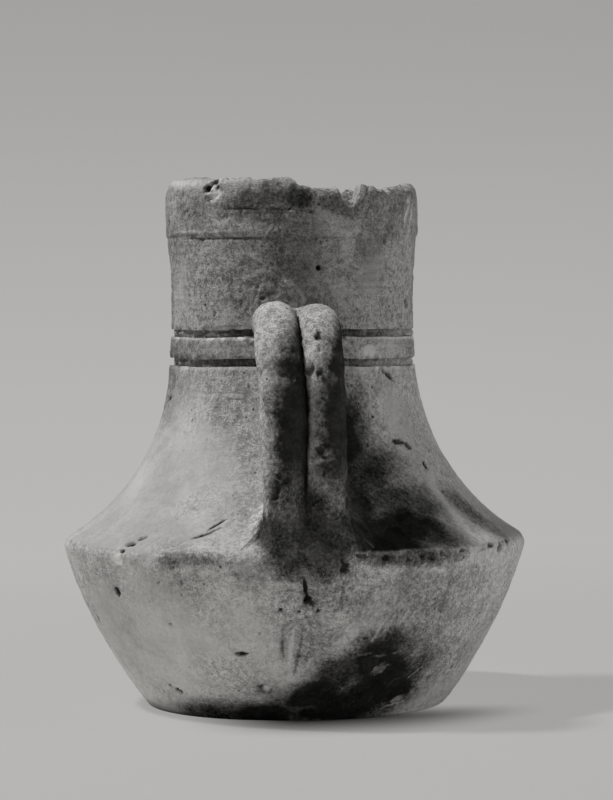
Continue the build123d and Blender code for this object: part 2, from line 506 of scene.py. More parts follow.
SKINS = (
    skin(-64, 128, 140, 120, tone=-0.8),
    skin(-52, 45, 120, 90, tone=-0.5),
    skin(-31, 177, 42, 40, tone=0.8),
    skin(-22, 153, 20, 22, tone=0.7),
    skin(-26, 94, 62, 10, tone=1.0),
    skin(28, 93, 90, 12, tone=1.0),
    skin(4, 78, 90, 70, tone=0.6),
    skin(38, 46, 100, 90, tone=0.5),
    skin(24, 150, 60, 110, tone=0.8),
    skin(47, 160, 34, 56, tone=-0.4),
    skin(60, 114, 30, 50, tone=0.6),
    skin(-14, 284, 70, 34, tone=0.4),
    skin(-20, 243, 56, 56, tone=0.6),
    skin(-66, 240, 30, 60, tone=-0.5),
    skin(38, 248, 26, 40, tone=-0.5),
    skin(-60, 298, 60, 12, tone=-0.6),
    skin(-40, 293, 20, 18, tone=1.0),
    skin(16, 291, 90, 24, tone=0.9),
)
STAINS_AND_PAINTED_SHADE = (
    stain_or_painted_light(23, 33, 78, 72, tone=-1.0),
    stain_or_painted_light(14, 8, 96, 48, tone=-1.0),
    stain_or_painted_light(22, 14, 70, 44, tone=-1.0),
    stain_or_painted_light(2, 15, 66, 30, 32, tone=-1.0),
    stain_or_painted_light(11, 30, 58, 38, 48, tone=-0.95),
    # Black along the foot: partly painted contact shade near the floor, partly fire-clouding.
    stain_or_painted_light(-18, 3, 110, 26, 3, tone=-1.0),
    stain_or_painted_light(23, 66, 110, 56, tone=-0.35),
    stain_or_painted_light(2, 50, 50, 50, tone=-0.3),
    # Painted shadow of the handle on the right shoulder, partly fire-clouding higher up.
    stain_or_painted_light(21, 102, 84, 50, tone=-1.0),
    stain_or_painted_light(25, 107, 96, 56, tone=-1.0),
    stain_or_painted_light(12, 112, 44, 70, tone=-1.0),
    stain_or_painted_light(16, 118, 48, 64, tone=-1.0),
    stain_or_painted_light(30, 121, 84, 44, -10, tone=-0.85),
    stain_or_painted_light(23, 138, 56, 60, -20, tone=-0.9),
    stain_or_painted_light(18, 154, 40, 84, -12, tone=-1.0),
    # Painted shadow of the neck on the right shoulder, beyond the strip that the key lamp lights between handle
    # and neck.
    stain_or_painted_light(60, 114, 30, 52, 10, tone=-0.62),
    # Darker across the neck's front: partly stains, partly painted shade where the key lamp only grazes the
    # neck.
    stain_or_painted_light(-14, 287, 70, 26, tone=-0.6),
    stain_or_painted_light(0, 291, 24, 22, tone=-0.9),
    stain_or_painted_light(18, 287, 34, 18, -20, tone=-0.6),
    stain_or_painted_light(52, 284, 44, 36, tone=-0.3),
    stain_or_painted_light(-54, 283, 40, 22, tone=-0.35),
    # Partly stains, partly painted shade where the key lamp only grazes the neck.
    stain_or_painted_light(-2, 263, 38, 66, tone=-0.42),
    stain_or_painted_light(-22, 243, 46, 50, tone=-0.22),
    stain_or_painted_light(-1, 94, 70, 34, tone=-0.75),
    stain_or_painted_light(2, 80, 76, 44, tone=-0.4),
    stain_or_painted_light(40, 24, 44, 50, tone=-0.3),
    stain_or_painted_light(46, 203, 48, 13, tone=0.35),
    stain_or_painted_light(-28, 93, 54, 12, tone=-0.55),
    stain_or_painted_light(24, 92.4, 84, 13, tone=-0.8),
    stain_or_painted_light(-52, 298, 84, 9, tone=0.5),
    # Black along the foot: partly painted contact shade near the floor, partly fire-clouding.
    stain_or_painted_light(2, 4, 50, 26, tone=-1.0),
    stain_or_painted_light(31, 15, 32, 46, tone=-1.0),
    stain_or_painted_light(29, 47, 58, 42, tone=-0.55),
    stain_or_painted_light(29, 291, 26, 13, tone=-0.5),
    stain_or_painted_light(-15, 51, 40, 36, tone=0.16),
    stain_or_painted_light(60, 66, 44, 56, tone=0.16),
)
SCARS_AND_PAINTED_LIGHT = (
    torn(-40.5, 293.5, 15, 13, 0, 1.5, 0.6),
    torn(-44.6, 295.5, 6, 6, 0, 1.8, -1.0),
    torn(-40.6, 298.8, 6, 4, 0, 1.8, -1.0),
    soft(-38.7, 294.8, 4, 4, 0, 1.6, -0.9),
    stain_or_painted_light(-37.6, 291, 9, 7, tone=0.9),
    torn(62, 283, 26, 4, 60, 0.6, 1.0),
    torn(67, 281, 24, 3.4, 64, 0.5, 1.0),
    torn(64, 292, 12, 5, 40, 0.6, 0.9),
    soft(8.8, 250, 4, 4, 0, 1.8, -1.0),
    torn(-4, 242.5, 11, 3.4, -30, 0.3, 0.6),
    torn(0.5, 236.5, 12, 3.4, -62, 0.3, 0.6),
    torn(-12.6, 272.6, 9, 2.6, 55, 0.3, 0.7),
    torn(-10.4, 272.2, 8, 2.2, 55, 0.3, 0.6),
    torn(45.3, 190, 14, 3.4, -38, 1.4, -0.9),
    torn(40, 194, 5, 3, 0, 0.6, 0.9),
    stain_or_painted_light(34, 203.5, 11, 9, tone=1.0),
    soft(-28.4, 105.2, 17, 2.2, 26, 0.9, -1.0),
    soft(-25.4, 110.8, 16, 2.2, 45, 0.9, -1.0),
    soft(-25.2, 107.9, 11, 1.8, 38, 0.7, -0.8),
    torn(-48.6, 99.6, 9, 5, 22, 2.0, -1.0),
    torn(-46.6, 102.4, 7, 3, 30, 1.2, -0.9),
    torn(-49.5, 96, 4, 3, 0, 1.5, -1.0),
    torn(-51, 91.5, 12, 9, 30, 0.7, 1.0),
    torn(-47.5, 87, 14, 7, -35, 0.6, 0.9),
    soft(43, 152.6, 13, 5, -4, 1.2, -0.9),
    soft(47.8, 150, 8, 5, -40, 1.0, -0.8),
    soft(53.4, 139, 4.5, 7, 0, 1.6, -1.0),
    # Painted strip of key light on the right shoulder, where the lamp shines between handle and neck.
    stain_or_painted_light(50, 110, 46, 8, 86, tone=0.35),
    torn(33, 85, 12, 3.2, -22, 0.7, 0.8),
    torn(36, 83, 9, 3.0, -48, 0.6, 0.7),
    torn(31, 90.6, 6, 5, 0, 1.4, -1.0),
    torn(27.6, 92.8, 8, 3.4, 0, 1.2, -1.0),
    torn(33.8, 94, 5, 4, 0, 1.2, -0.9),
    torn(52.4, 95.4, 7, 4, 10, 1.2, -0.9),
    torn(61.6, 96.4, 5, 3, 0, 1.0, -0.9),
    torn(22, 95, 9, 3, 5, 0.9, 0.3),
    torn(12.5, 94.4, 13, 2.6, -5, 0.9, -0.9),
    torn(18.5, 93.0, 8, 4.2, 6, 1.1, -1.0),
    torn(15.4, 91.6, 5, 3.0, 0, 0.8, 0.3),
    torn(24.6, 91.4, 5, 4.0, 0, 1.0, -1.0),
    torn(29.6, 88.4, 6, 3.6, 20, 0.8, 0.3),
    torn(37.6, 91.2, 6, 4.0, 10, 0.9, 0.3),
    torn(41.0, 94.6, 6, 3.0, 0, 0.9, -0.8),
    torn(47.4, 94.2, 7, 4.0, 0, 0.9, 0.3),
    torn(56.4, 93.4, 8, 5.0, 20, 0.9, -0.7),
    torn(58.4, 90.4, 5, 4.0, 0, 0.7, 0.3),
    soft(-55, 72, 6, 8, 20, 1.8, -1.0),
    soft(-74.7, 53, 5, 6, 0, 1.2, -0.8),
    soft(-18.6, 40.3, 10, 3.4, 0, 1.4, -1.0),
    torn(-46.2, 16.6, 7, 3.6, -28, 1.6, -1.0),
    torn(-48.4, 18.6, 6, 2.0, -28, 1.0, -0.9),
    torn(-13.4, 19.1, 11, 9, 0, 1.0, -0.8),
    stain_or_painted_light(-12.8, 19.4, 6, 6, tone=1.0),
    soft(43.7, 21.7, 4, 3, 0, 1.2, -0.8),
    soft(55, 25, 5, 3, 0, 1.2, -0.7),
    torn(22.5, 30, 11, 6, 40, 0.5, 0.3),
    torn(34.4, 10.4, 12, 5, 25, 0.4, 0.5),
    soft(-0.8, 77.6, 22, 3.8, 98, 2.0, -1.0),
    torn(0.1, 70.4, 8, 6, 110, 2.4, -1.0),
    torn(7.9, 90, 6, 8, 0, 1.8, -1.0),
    soft(-7, 65.3, 3.8, 3.4, 0, 1.2, -1.0),
    soft(2.4, 65, 2.8, 4.2, 0, 1.0, -1.0),
    soft(-6.8, 46.6, 28, 3.0, 88, 0.6, -0.7),
    soft(-2.6, 39.6, 36, 3.0, 80, 0.6, -0.7),
    soft(-4.6, 44, 30, 3.6, 84, 0.4, 0.7),
    soft(0.4, 42, 24, 2.6, 78, 0.5, -0.5),
    soft(8.2, 73, 28, 2.6, 90, 0.6, -0.8),
    soft(6.4, 74, 22, 2.2, 90, 0.5, -0.7),
    soft(19.5, 53, 22, 1.7, 66, 0.3, 0.6),
    soft(22, 55, 18, 1.5, 68, 0.3, 0.45),
    soft(26, 58.5, 16, 1.9, 64, 0.3, 0.6),
    soft(28.6, 60, 11, 1.6, 60, 0.3, 0.5),
    soft(34, 66, 10, 1.6, 48, 0.3, 0.6),
    soft(32, 36, 16, 1.6, 32, 0.2, 0.18),
    soft(27, 39, 12, 1.5, 18, 0.2, 0.18),
    soft(16, 38.5, 15, 1.6, 14, 0.2, 0.18),
    soft(21.5, 37.5, 9, 1.5, 2, 0.2, 0.18),
    soft(14.5, 43, 10, 1.6, 58, 0.2, 0.18),
    soft(36.4, 26, 15, 1.6, 45, 0.2, 0.45),
    soft(33.6, 7.4, 16, 1.8, 12, 0.2, 0.7),
    soft(-33.8, 87.7, 3, 2.5, 0, 0.9, -0.9),
    soft(-38.8, 79, 2.5, 2.5, 0, 0.9, -0.8),
    soft(-32, 79.8, 2.5, 2.5, 0, 0.9, -0.9),
    soft(-38.5, 55.3, 2.5, 2, 0, 0.8, -0.8),
)
# Holes in the rolls, and lumps, whose depth is below 0: side, height, degrees from the front towards +X,
# radius and depth
ROLL_HOLES = (
    (-1, 133.0, -24, 3.0, 3.0),
    (-1, 139.0, -19, 2.0, 2.2),
    (-1, 127.6, -27, 2.6, 2.4),
    (-1, 136.6, 4, 2.2, 2.2),
    (-1, 179.4, -63, 1.0, 1.0),
    (-1, 201.0, 24, 1.4, 0.9),
    (-1, 186.0, 8, 1.6, 0.9),
    (1, 218.0, -21, 1.9, 2.2),
    (1, 222.5, -15, 1.0, 1.2),
    (1, 207.5, -16, 1.1, 1.0),
    (1, 193.0, -17, 2.4, 1.2),
    (1, 189.0, -3, 2.2, 1.3),
    (1, 151.4, -18, 2.8, 2.4),
    (1, 154.6, -4, 2.0, 1.6),
    (-1, 214.0, -72, 15.0, -1.5),
    (-1, 204.0, 16, 2.8, -0.9),
    (-1, 189.0, 4, 3.2, -1.0),
    (1, 190.0, 4, 4.4, -1.1),
    (1, 150.0, -4, 5.0, -0.9),
    (-1, 120.0, -10, 7.0, -0.9),
    (1, 124.0, 20, 8.0, -1.0),
)
# Thin lines turned into the wall, with painted shade and light along the rim's step: height, azimuth where they
# begin and end, depth and tone
TURNED_LINES_AND_PAINTED_LIGHT = (
    (282.8, -38, 0, 0.5, -0.9),
    (286.0, -50, -20, 0.3, -0.4),
    # These three: painted shadow under the rim's step, darkest on the key lamp's side, and a painted highlight
    # on the raised ridge above it.
    (267.0, -56, -16, 0.6, -0.8),
    (266.6, -16, 34, 0.3, -0.35),
    (271.2, -74, -50, -0.4, 0.5),
    (179.4, -48, -17, 0.3, 0.9),
    (178.0, -40, -17, 0.4, -0.7),
    (178.4, 15, 30, 0.3, -0.4),
    (226.0, 80, 200, 0.4, -0.5),
    (281.0, 120, 250, 0.4, -0.6),
    (160.0, 150, 260, 0.4, -0.5),
)
# Scoops broken out of the lip: degrees from the handle towards +X, width and depth
LIP_SCOOPS = (
    (24.8, 20.0, 12.4),
    (13.0, 44.0, 5.2),
    (46.0, 56.0, 3.8),
    (66.0, 14.0, 4.2),
    (96.0, 46.0, 3.6),
    (133.0, 34.0, 6.5),
    (160.0, 36.0, 7.4),
    (176.0, 58.0, 3.4),
    (228.0, 34.0, 5.4),
    (266.0, 40.0, 2.6),
    (316.0, 16.0, 1.6),
)


# Vertex tones; dark also carries painted shade, and pale painted highlights.
WORN_AND_PAINTED = ("pale", "dark", "hollow", "rough")


@dataclass
class WearAndPaintedLight:
    """What the weather did to a set of points: how far they moved, and how their clay changed; its dark and
    pale tones also carry painted shade and painted highlights.
    """

    lift: Array
    pale: Array
    dark: Array
    hollow: Array
    rough: Array

    @classmethod
    def none(cls, count: int) -> "WearAndPaintedLight":
        """A fresh surface, untouched."""
        return cls(*(np.zeros(count) for _ in range(5)))


@dataclass(frozen=True)
class WeatheringAndPaintedLight:
    """Unevenness, erosion, pits and marks, painted shade and light among them, as one field that all the
    members share.
    """

    jar: JarForm
    handle: HandleForm
    pit_count: int = 380
    handle_pit_count: int = 60
    back_stain_count: int = 12
    seed: int = 11
    wave: float = 0.5  # heights, in millimetres, from here on
    handle_lump: float = 0.45
    eroded: float = 0.3
    turned_line: float = 0.1
    flake: float = 0.4
    knock: float = 1.1
    nibble: float = 2.1
    choke: float = 2.2
    wander: float = 0.5
    nick: float = 0.7
    notch: float = 1.4
    lip_tilt: float = 2.2
    lip_proud: float = 1.8

    @cached_property
    def pits(self) -> list[tuple[Array, float, float, bool]]:
        """Place, radius and depth of every small pit, and whether chance put it there."""
        chance = np.random.default_rng(self.seed)
        found = []
        while len(found) < self.pit_count:
            height = chance.uniform(2 * MM, self.jar.height)
            place = self.jar.surface_point(chance.uniform(-180, 180), height)
            if chance.uniform(0, self.jar.edge_r) < math.hypot(place.x, place.y):
                radius = chance.lognormal(math.log(0.9), 0.35) * MM
                found.append((np.array(place), radius, radius * chance.uniform(0.35, 0.8), True))
        rolls = list(ROLL_HOLES)
        for _ in range(self.handle_pit_count):
            side, height = chance.choice((-1, 1)), chance.uniform(self.jar.edge_z, self.handle.top_z) / MM
            radius = chance.lognormal(0.0, 0.4)
            rolls.append((side, height, chance.uniform(-125, 125), radius, radius * chance.uniform(0.4, 0.8)))
        for number, (side, height, angle, radius, depth) in enumerate(rolls):
            place = self.handle.roll_point(int(side), height * MM, math.radians(angle))
            found.append((place, radius * MM, depth * MM, number >= len(ROLL_HOLES)))
        return found

    @cached_property
    def marks(self) -> list[Mark]:
        """The marks of the front, and chance ones of the same kinds on the sides and back."""
        chance = np.random.default_rng(self.seed + 1)
        others = []
        for _ in range(self.back_stain_count):
            shape = (chance.uniform(55, 130), chance.uniform(40, 80), chance.uniform(-40, 40))
            place = (chance.uniform(85, 275), chance.uniform(10, 290))
            tone = chance.choice((-0.5, -0.38, -0.25, 0.3))
            others.append(stain_or_painted_light(*place, *shape, tone=tone))
        for _ in range(4 * self.back_stain_count):
            place = (chance.uniform(75, 285), chance.uniform(8, 285))
            long = chance.uniform(3, 14)
            shape = (long, chance.uniform(2, 4), chance.uniform(-60, 60), chance.uniform(0.7, 1.6))
            kind = torn if chance.uniform() < 0.3 else soft
            others.append(kind(*place, *shape, tone=chance.choice((-0.8, -0.6, 0.5))))
        return [*STAINS_AND_PAINTED_SHADE, *SCARS_AND_PAINTED_LIGHT, *others]

    def wear(self, points: Array) -> WearAndPaintedLight:
        """Everything the weather did at points of the surface, with the shade and light painted there.

        Args:
            points: Positions on the smooth form, in metres.

        Returns:
            The wear, with lift in metres, positive outwards.
        """
        wear = WearAndPaintedLight.none(len(points))
        self._skin(points, wear)
        self._unevenness(points, wear)
        self._worn_and_shaded_edges(points, wear)
        for mark in self.marks:
            self._mark(points, wear, mark)
        self._handle_shade_and_soot(points, wear)
        order = np.argsort(points[:, 2])
        heights = points[order, 2]
        ragged = 1 + 0.5 * PIT_EDGE.at(points)
        for place, radius, depth, chance in self.pits:
            low, high = np.searchsorted(heights, (place[2] - 2 * radius, place[2] + 2 * radius))
            near = order[low:high]
            away = np.linalg.norm(points[near] - place, axis=1) / radius
            share = ramp(1.3 - away * ragged[near], 0.0, 1.0)
            if chance:
                share *= np.clip(1.8 * wear.rough[near], 0.1, 1)
            wear.lift[near] -= depth * share
            if depth > 0:
                wear.hollow[near] += (0.5 + 0.25 * min(radius / MM, 2)) * share
            if depth > 0 and not chance:
                wear.dark[near] = np.maximum(wear.dark[near], ramp(share, 0.1, 0.7))
            if depth < 0:
                wear.dark[near] *= 1 - 0.2 * share
        return wear

    def _skin(self, points: Array, wear: WearAndPaintedLight) -> None:
        """How open and grainy the clay's skin is, from 0 to 1."""
        patch = ramp(PATCHES.at(points), -0.5, 0.7)
        neck = ramp(points[:, 2], self.jar.groove_z - 25 * MM, self.jar.groove_z)
        on_handle = ramp(self.jar.clearance(points), 1 * MM, 6 * MM)
        wear.rough += 0.28 + 0.3 * patch + 0.22 * neck + 0.3 * on_handle
        for mark in SKINS:
            self._mark(points, wear, mark)
        wear.rough = np.clip(wear.rough, 0.02, 1)

    def _unevenness(self, points: Array, wear: WearAndPaintedLight) -> None:
        """Slow waves, lumps, turning lines, flaking and grain."""
        on_handle = ramp(self.jar.clearance(points), 1 * MM, 12 * MM)
        turned = 1 - on_handle
        high = ramp(points[:, 2], self.jar.edge_z, self.jar.groove_z)
        waves = self.wave * WAVES.at(points) * turned
        lumps = (0.1 + 0.1 * wear.rough + self.handle_lump * on_handle) * LUMPS.at(points)
        erosion = (0.03 + self.eroded * wear.rough) * EROSION.at(points)
        lines = (0.02 + self.turned_line * high) * turned * TURNING.at(squeezed(points, level=0.05))
        flaked = ramp(FLAKES.at(points), 0.55, 0.7) * self.flake * wear.rough
        wear.lift += (waves + lumps + erosion + lines - flaked) * MM
        wear.hollow += wear.rough * ramp(-HOLLOWS.at(points), 0.35, 1.1) * 0.5 + 0.4 * flaked

    def _handle_shade_and_soot(self, points: Array, wear: WearAndPaintedLight) -> None:
        """Painted shade in the crease of the rolls and, partly sooty, on their sides turned from the key lamp;
        darker over the front of the foot.
        """
        form, edge_z = self.handle, self.jar.edge_z
        clear = self.jar.clearance(points)
        near = np.flatnonzero((points[:, 1] < 0) & (clear > 0.3 * MM))
        if not len(near):
            return
        way = outward(form.clay, points[near])
        upright = form.upright(points[near])
        x, z = upright[:, 0], upright[:, 2]
        high = ramp(z, form.top_z - 46 * MM, form.top_z + 2 * MM)
        foot = 1 - ramp(z, edge_z + 26 * MM, edge_z + 56 * MM)
        seen = ramp(-way[:, 1], -0.8, -0.2)
        ragged = 0.16 * SOOT_AND_SHADE_EDGE.at(points[near]) + 0.14 * SOOT_AND_SHADE_GRAIN.at(points[near])
        # Painted shade, partly sooty, on the sides of the rolls turned from the key lamp; higher up its edge
        # follows the lamp's terminator.
        shade_share = ramp(way[:, 0] + ragged - 0.75 * high - np.where(x < 0, -0.14, 0.1), -1.0, 0.0)
        shade_share *= (1 - ramp(way[:, 2], 0.3, 0.8)) * seen
        # Painted shade down the crease between the rolls.
        crease = bell(x, 0.0, np.where(x < 0, 4.5 * MM, 1.3 * MM))
        crease *= ramp(z, edge_z + 8 * MM, edge_z + 40 * MM)
        crease *= 1 - ramp(z, form.top_z - 14 * MM, form.top_z - 2 * MM)
        low = np.clip(1 - (z - edge_z) / (28 * MM), 0, 1)
        side = x + (21 + 11 * low) * MM + 12 * MM * ragged
        # Darker over the front of the foot.
        open_front = 0.92 * foot * ramp(side, -2.5 * MM, 1.5 * MM) * ramp(-way[:, 1], -0.1, 0.25)
        dirt_and_shade = np.maximum(np.maximum(shade_share * (1 - 0.2 * foot), crease), open_front)
        on_handle = ramp(clear[near], 0.5 * MM, 5 * MM)
        wear.dark[near] = np.maximum(wear.dark[near], (0.05 + 0.95 * dirt_and_shade) * on_handle)

    def _worn_and_shaded_edges(self, points: Array, wear: WearAndPaintedLight) -> None:
        """Knocks along the shoulder edge and the lips of the grooves, turned lines, painted highlights on the
        grooves' lower lips and painted shade on their floors.
        """
        z = points[:, 2]
        ring = squeezed(points, upright=0.25)
        crest = self.jar.edge_corner(self.jar.edge_round).y
        knocked = ramp(KNOCKS.at(ring), 0.15, 0.75) * bell(z, crest, 4.5 * MM)
        wear.lift -= self.knock * MM * knocked
        wear.pale += 0.3 * knocked
        band_z = self.jar.groove_z + self.jar.groove_width
        upper_z = band_z + self.jar.band_height
        edges = (self.jar.groove_z, band_z, upper_z, upper_z + self.jar.groove_width)
        on_wall = 1 - ramp(self.jar.clearance(points), 1 * MM, 4 * MM)
        azimuth = azimuths(points)
        broken = on_wall * ramp(LINE_BREAKS.at(ring), -0.8, 0.1)
        for line_z, begin, end, depth, tone in TURNED_LINES_AND_PAINTED_LIGHT:
            past = (azimuth - begin + 90) % 360 - 90
            near = bell(z, line_z * MM, 0.7 * MM) * broken
            near *= ramp(past, -4, 6) * (1 - ramp(past, end - begin - 6, end - begin + 4))
            wear.lift -= depth * near * MM
            wear.pale += max(tone, 0) * near
            wear.dark = np.maximum(wear.dark, max(-tone, 0) * near)
        for edge, nibbles in zip(edges, NIBBLES):
            near = bell(z, edge, 1.5 * MM) * on_wall
            nibbled = ramp(nibbles.at(ring), 0.0, 0.6)
            wear.lift -= (0.2 + self.nibble * nibbled) * near * MM
            wear.pale += 0.35 * near * nibbled
        sunk = ramp(-self.jar.clearance(points), 0.9 * MM, 1.9 * MM)
        # Painted shade on the groove floors: some all round, most towards the front, where the handle stands.
        shade_share = ramp(-points[:, 1] + 12 * MM * GROOVE_SHADE_EDGE.at(points), 36 * MM, 60 * MM)
        for low in (self.jar.groove_z, upper_z):
            # Painted highlight along each groove's lower lip, where the key lamp catches it.
            lip = bell(z, low - 0.5 * MM, 0.8 * MM) * on_wall * (1 - sunk)
            wear.pale += 0.8 * lip
            middle = low + self.jar.groove_width / 2
            floor = sunk * (np.abs(z - middle) < self.jar.groove_width / 2)
            choked = ramp(points[:, 0], 30 * MM, 46 * MM) * ramp(CHOKES.at(ring), -0.3, 0.4)
            wear.lift += self.choke * choked * floor * MM
            wear.dark += (0.2 + 0.8 * shade_share) * (1 - 0.5 * choked) * floor

    def groove_wander(self, points: Array) -> Array:
        """How far the two grooves wander up and down where they were cut, in metres."""
        middle = self.jar.groove_z + self.jar.groove_width + self.jar.band_height / 2
        near = np.exp(-(((points[:, 2] - middle) / (14 * MM)) ** 6))
        lean = 0.45 * MM - 0.008 * points[:, 0]
        return (lean + self.wander * MM * WANDER.at(squeezed(points, upright=0.5))) * near

    def _mark(self, points: Array, wear: WearAndPaintedLight, mark: Mark) -> None:
        """One mark, laid out in the surface's own east and up directions."""
        place = np.array(self.jar.surface_point(mark.azimuth, mark.height * MM))
        reach = max(mark.length, mark.width) * MM
        near = np.flatnonzero((np.abs(points - place) < reach).all(axis=1))
        if not len(near):
            return
        local = points[near] - place
        angle = math.radians(mark.azimuth)
        east = np.array([math.cos(angle), math.sin(angle), 0])
        normal = outward(self.jar.clearance, place[None])[0]
        up = np.cross(normal, east)
        turn = math.radians(mark.turn)
        along = local @ (east * math.cos(turn) + up * math.sin(turn))
        across = local @ (up * math.cos(turn) - east * math.sin(turn))
        spread = np.hypot(along / (mark.length * MM / 2), across / (mark.width * MM / 2))
        if mark.scar in (Scar.STAIN, Scar.SKIN):
            ragged = STAIN_EDGE.at(points[near])
            share = ramp(1.45 - 1.25 * spread + 0.26 * ragged, 0.05, 1.0)
            # Marks centred on the shoulder stop at its edge; this gives the painted shadow of the handle its
            # crisp lower edge.
            if self.jar.edge_z < mark.height * MM < self.jar.groove_z:
                share *= ramp(points[near, 2], self.jar.edge_z - 1 * MM, self.jar.edge_z + 2 * MM)
        elif mark.scar is Scar.TORN:
            ragged = CHIP_EDGE.at(points[near])
            share = ramp(1.0 - spread + 0.45 * ragged, 0.0, 0.5)
        else:
            share = ramp(1.0 - spread, 0.0, 0.8)
        if mark.scar is Scar.SKIN:
            wear.rough[near] += mark.tone * share
            return
        wear.lift[near] -= mark.depth * MM * share
        if mark.scar is Scar.SOFT:
            share = ramp(1.0 - spread, 0.05, 0.4)
        wear.pale[near] += max(mark.tone, 0) * share
        wear.dark[near] *= 1 - max(mark.tone, 0) * share
        wear.dark[near] = np.maximum(wear.dark[near], max(-mark.tone, 0) * share)

    def lip_drop(self, points: Array) -> Array:
        """How far the lip has broken away at each point's azimuth, in metres."""
        azimuth = azimuths(points)
        drop = np.zeros(len(points))
        for middle, width, depth in LIP_SCOOPS:
            away = np.radians((azimuth - middle + 180) % 360 - 180) * self.jar.rim_r / MM
            drop = np.maximum(drop, depth * (1 - (2 * away / width) ** 2))
        ring = squeezed(points, upright=0.0)
        nicks = self.nick * NICKS.at(ring) + self.notch * ramp(NOTCHES.at(ring), 0.45, 0.7)
        tilt = self.lip_tilt * np.sin(np.radians(azimuth))
        return np.maximum(drop + nicks + tilt, -self.lip_proud) * MM


def clear_bench() -> None:
    """Back to object mode with nothing selected."""
    if bpy.context.mode != "OBJECT":
        bpy.ops.object.mode_set(mode="OBJECT")
    bpy.ops.object.select_all(action="DESELECT")


def take(name: str) -> Piece:
    """The primitive just added, named and opened for editing with all of it selected."""
    piece = bpy.context.object
    piece.name = piece.data.name = name
    bpy.ops.object.transform_apply(location=True, rotation=True, scale=True)
    bpy.ops.object.mode_set(mode="EDIT")
    bpy.ops.mesh.select_mode(type="VERT")
    bpy.ops.mesh.select_all(action="SELECT")
    return piece


def close_up() -> None:
    """Merge doubles, turn all faces outwards and leave edit mode."""
    bpy.ops.mesh.select_all(action="SELECT")
    bpy.ops.mesh.remove_doubles(threshold=DOUBLES)
    bpy.ops.mesh.normals_make_consistent(inside=False)
    bpy.ops.object.mode_set(mode="OBJECT")


def spun(name: str, outline: Outline) -> Piece:
    """Ring whose half section is drawn point by point and then turned round the jar's axis.

    Args:
        name: Name of the piece.
        outline: The half section.

    Returns:
        The piece, in object mode.
    """
    clear_bench()
    bpy.ops.mesh.primitive_plane_add(size=MM)
    piece = take(name)
    bpy.ops.mesh.merge(type="CENTER")
    start = outline.points[0]
    bpy.ops.transform.translate(value=(start.x, 0, start.y))
    for here, there in itertools.pairwise(outline.points):
        step = there - here
        bpy.ops.mesh.extrude_vertices_move(TRANSFORM_OT_translate={"value": (step.x, 0, step.y)})
    bpy.ops.object.mode_set(mode="OBJECT")
    turn = piece.modifiers.new("turn", "SCREW")
    turn.steps = turn.render_steps = SEGMENTS
    turn.use_merge_vertices = True
    turn.merge_threshold = 0.001 * MM
    bpy.ops.object.modifier_apply(modifier=turn.name)
    bpy.ops.object.mode_set(mode="EDIT")
    close_up()
    return piece


def points_of(piece: Piece) -> Array:
    """Positions of a piece's vertices, one row each."""
    flat = np.empty(3 * len(piece.data.vertices), dtype=np.float32)
    piece.data.vertices.foreach_get("co", flat)
    return flat.reshape(-1, 3).astype(float)


def move_points(piece: Piece, points: Array) -> None:
    """Give a piece's vertices new positions."""
    piece.data.vertices.foreach_set("co", points.astype(np.float32).ravel())
    piece.data.update()


def keep_values(piece: Piece, name: str, values: Array) -> None:
    """Store one number for each vertex, for the finish to read."""
    layer = piece.data.attributes.new(name, "FLOAT", "POINT")
    layer.data.foreach_set("value", np.clip(values, 0, 1).astype(np.float32))


def pick(piece: Piece) -> None:
    """Select one piece alone."""
    clear_bench()
    piece.select_set(True)
    bpy.context.view_layer.objects.active = piece


def smooth(piece: Piece) -> None:
    """Shade a piece smooth but for its sharp edges."""
    pick(piece)
    bpy.ops.object.shade_smooth_by_angle(angle=SHARP_ANGLE)
    clear_bench()


def settle(piece: Piece, node: str, material: Material) -> None:
    """Finish a piece: its material, and its place in the frame for the node it stands for."""
    smooth(piece)
    piece.data.materials.append(material)
    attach(piece, BODY)
    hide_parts(node)
    LOG.info("%s: %d faces, stands for %s", piece.name, len(piece.data.polygons), node)


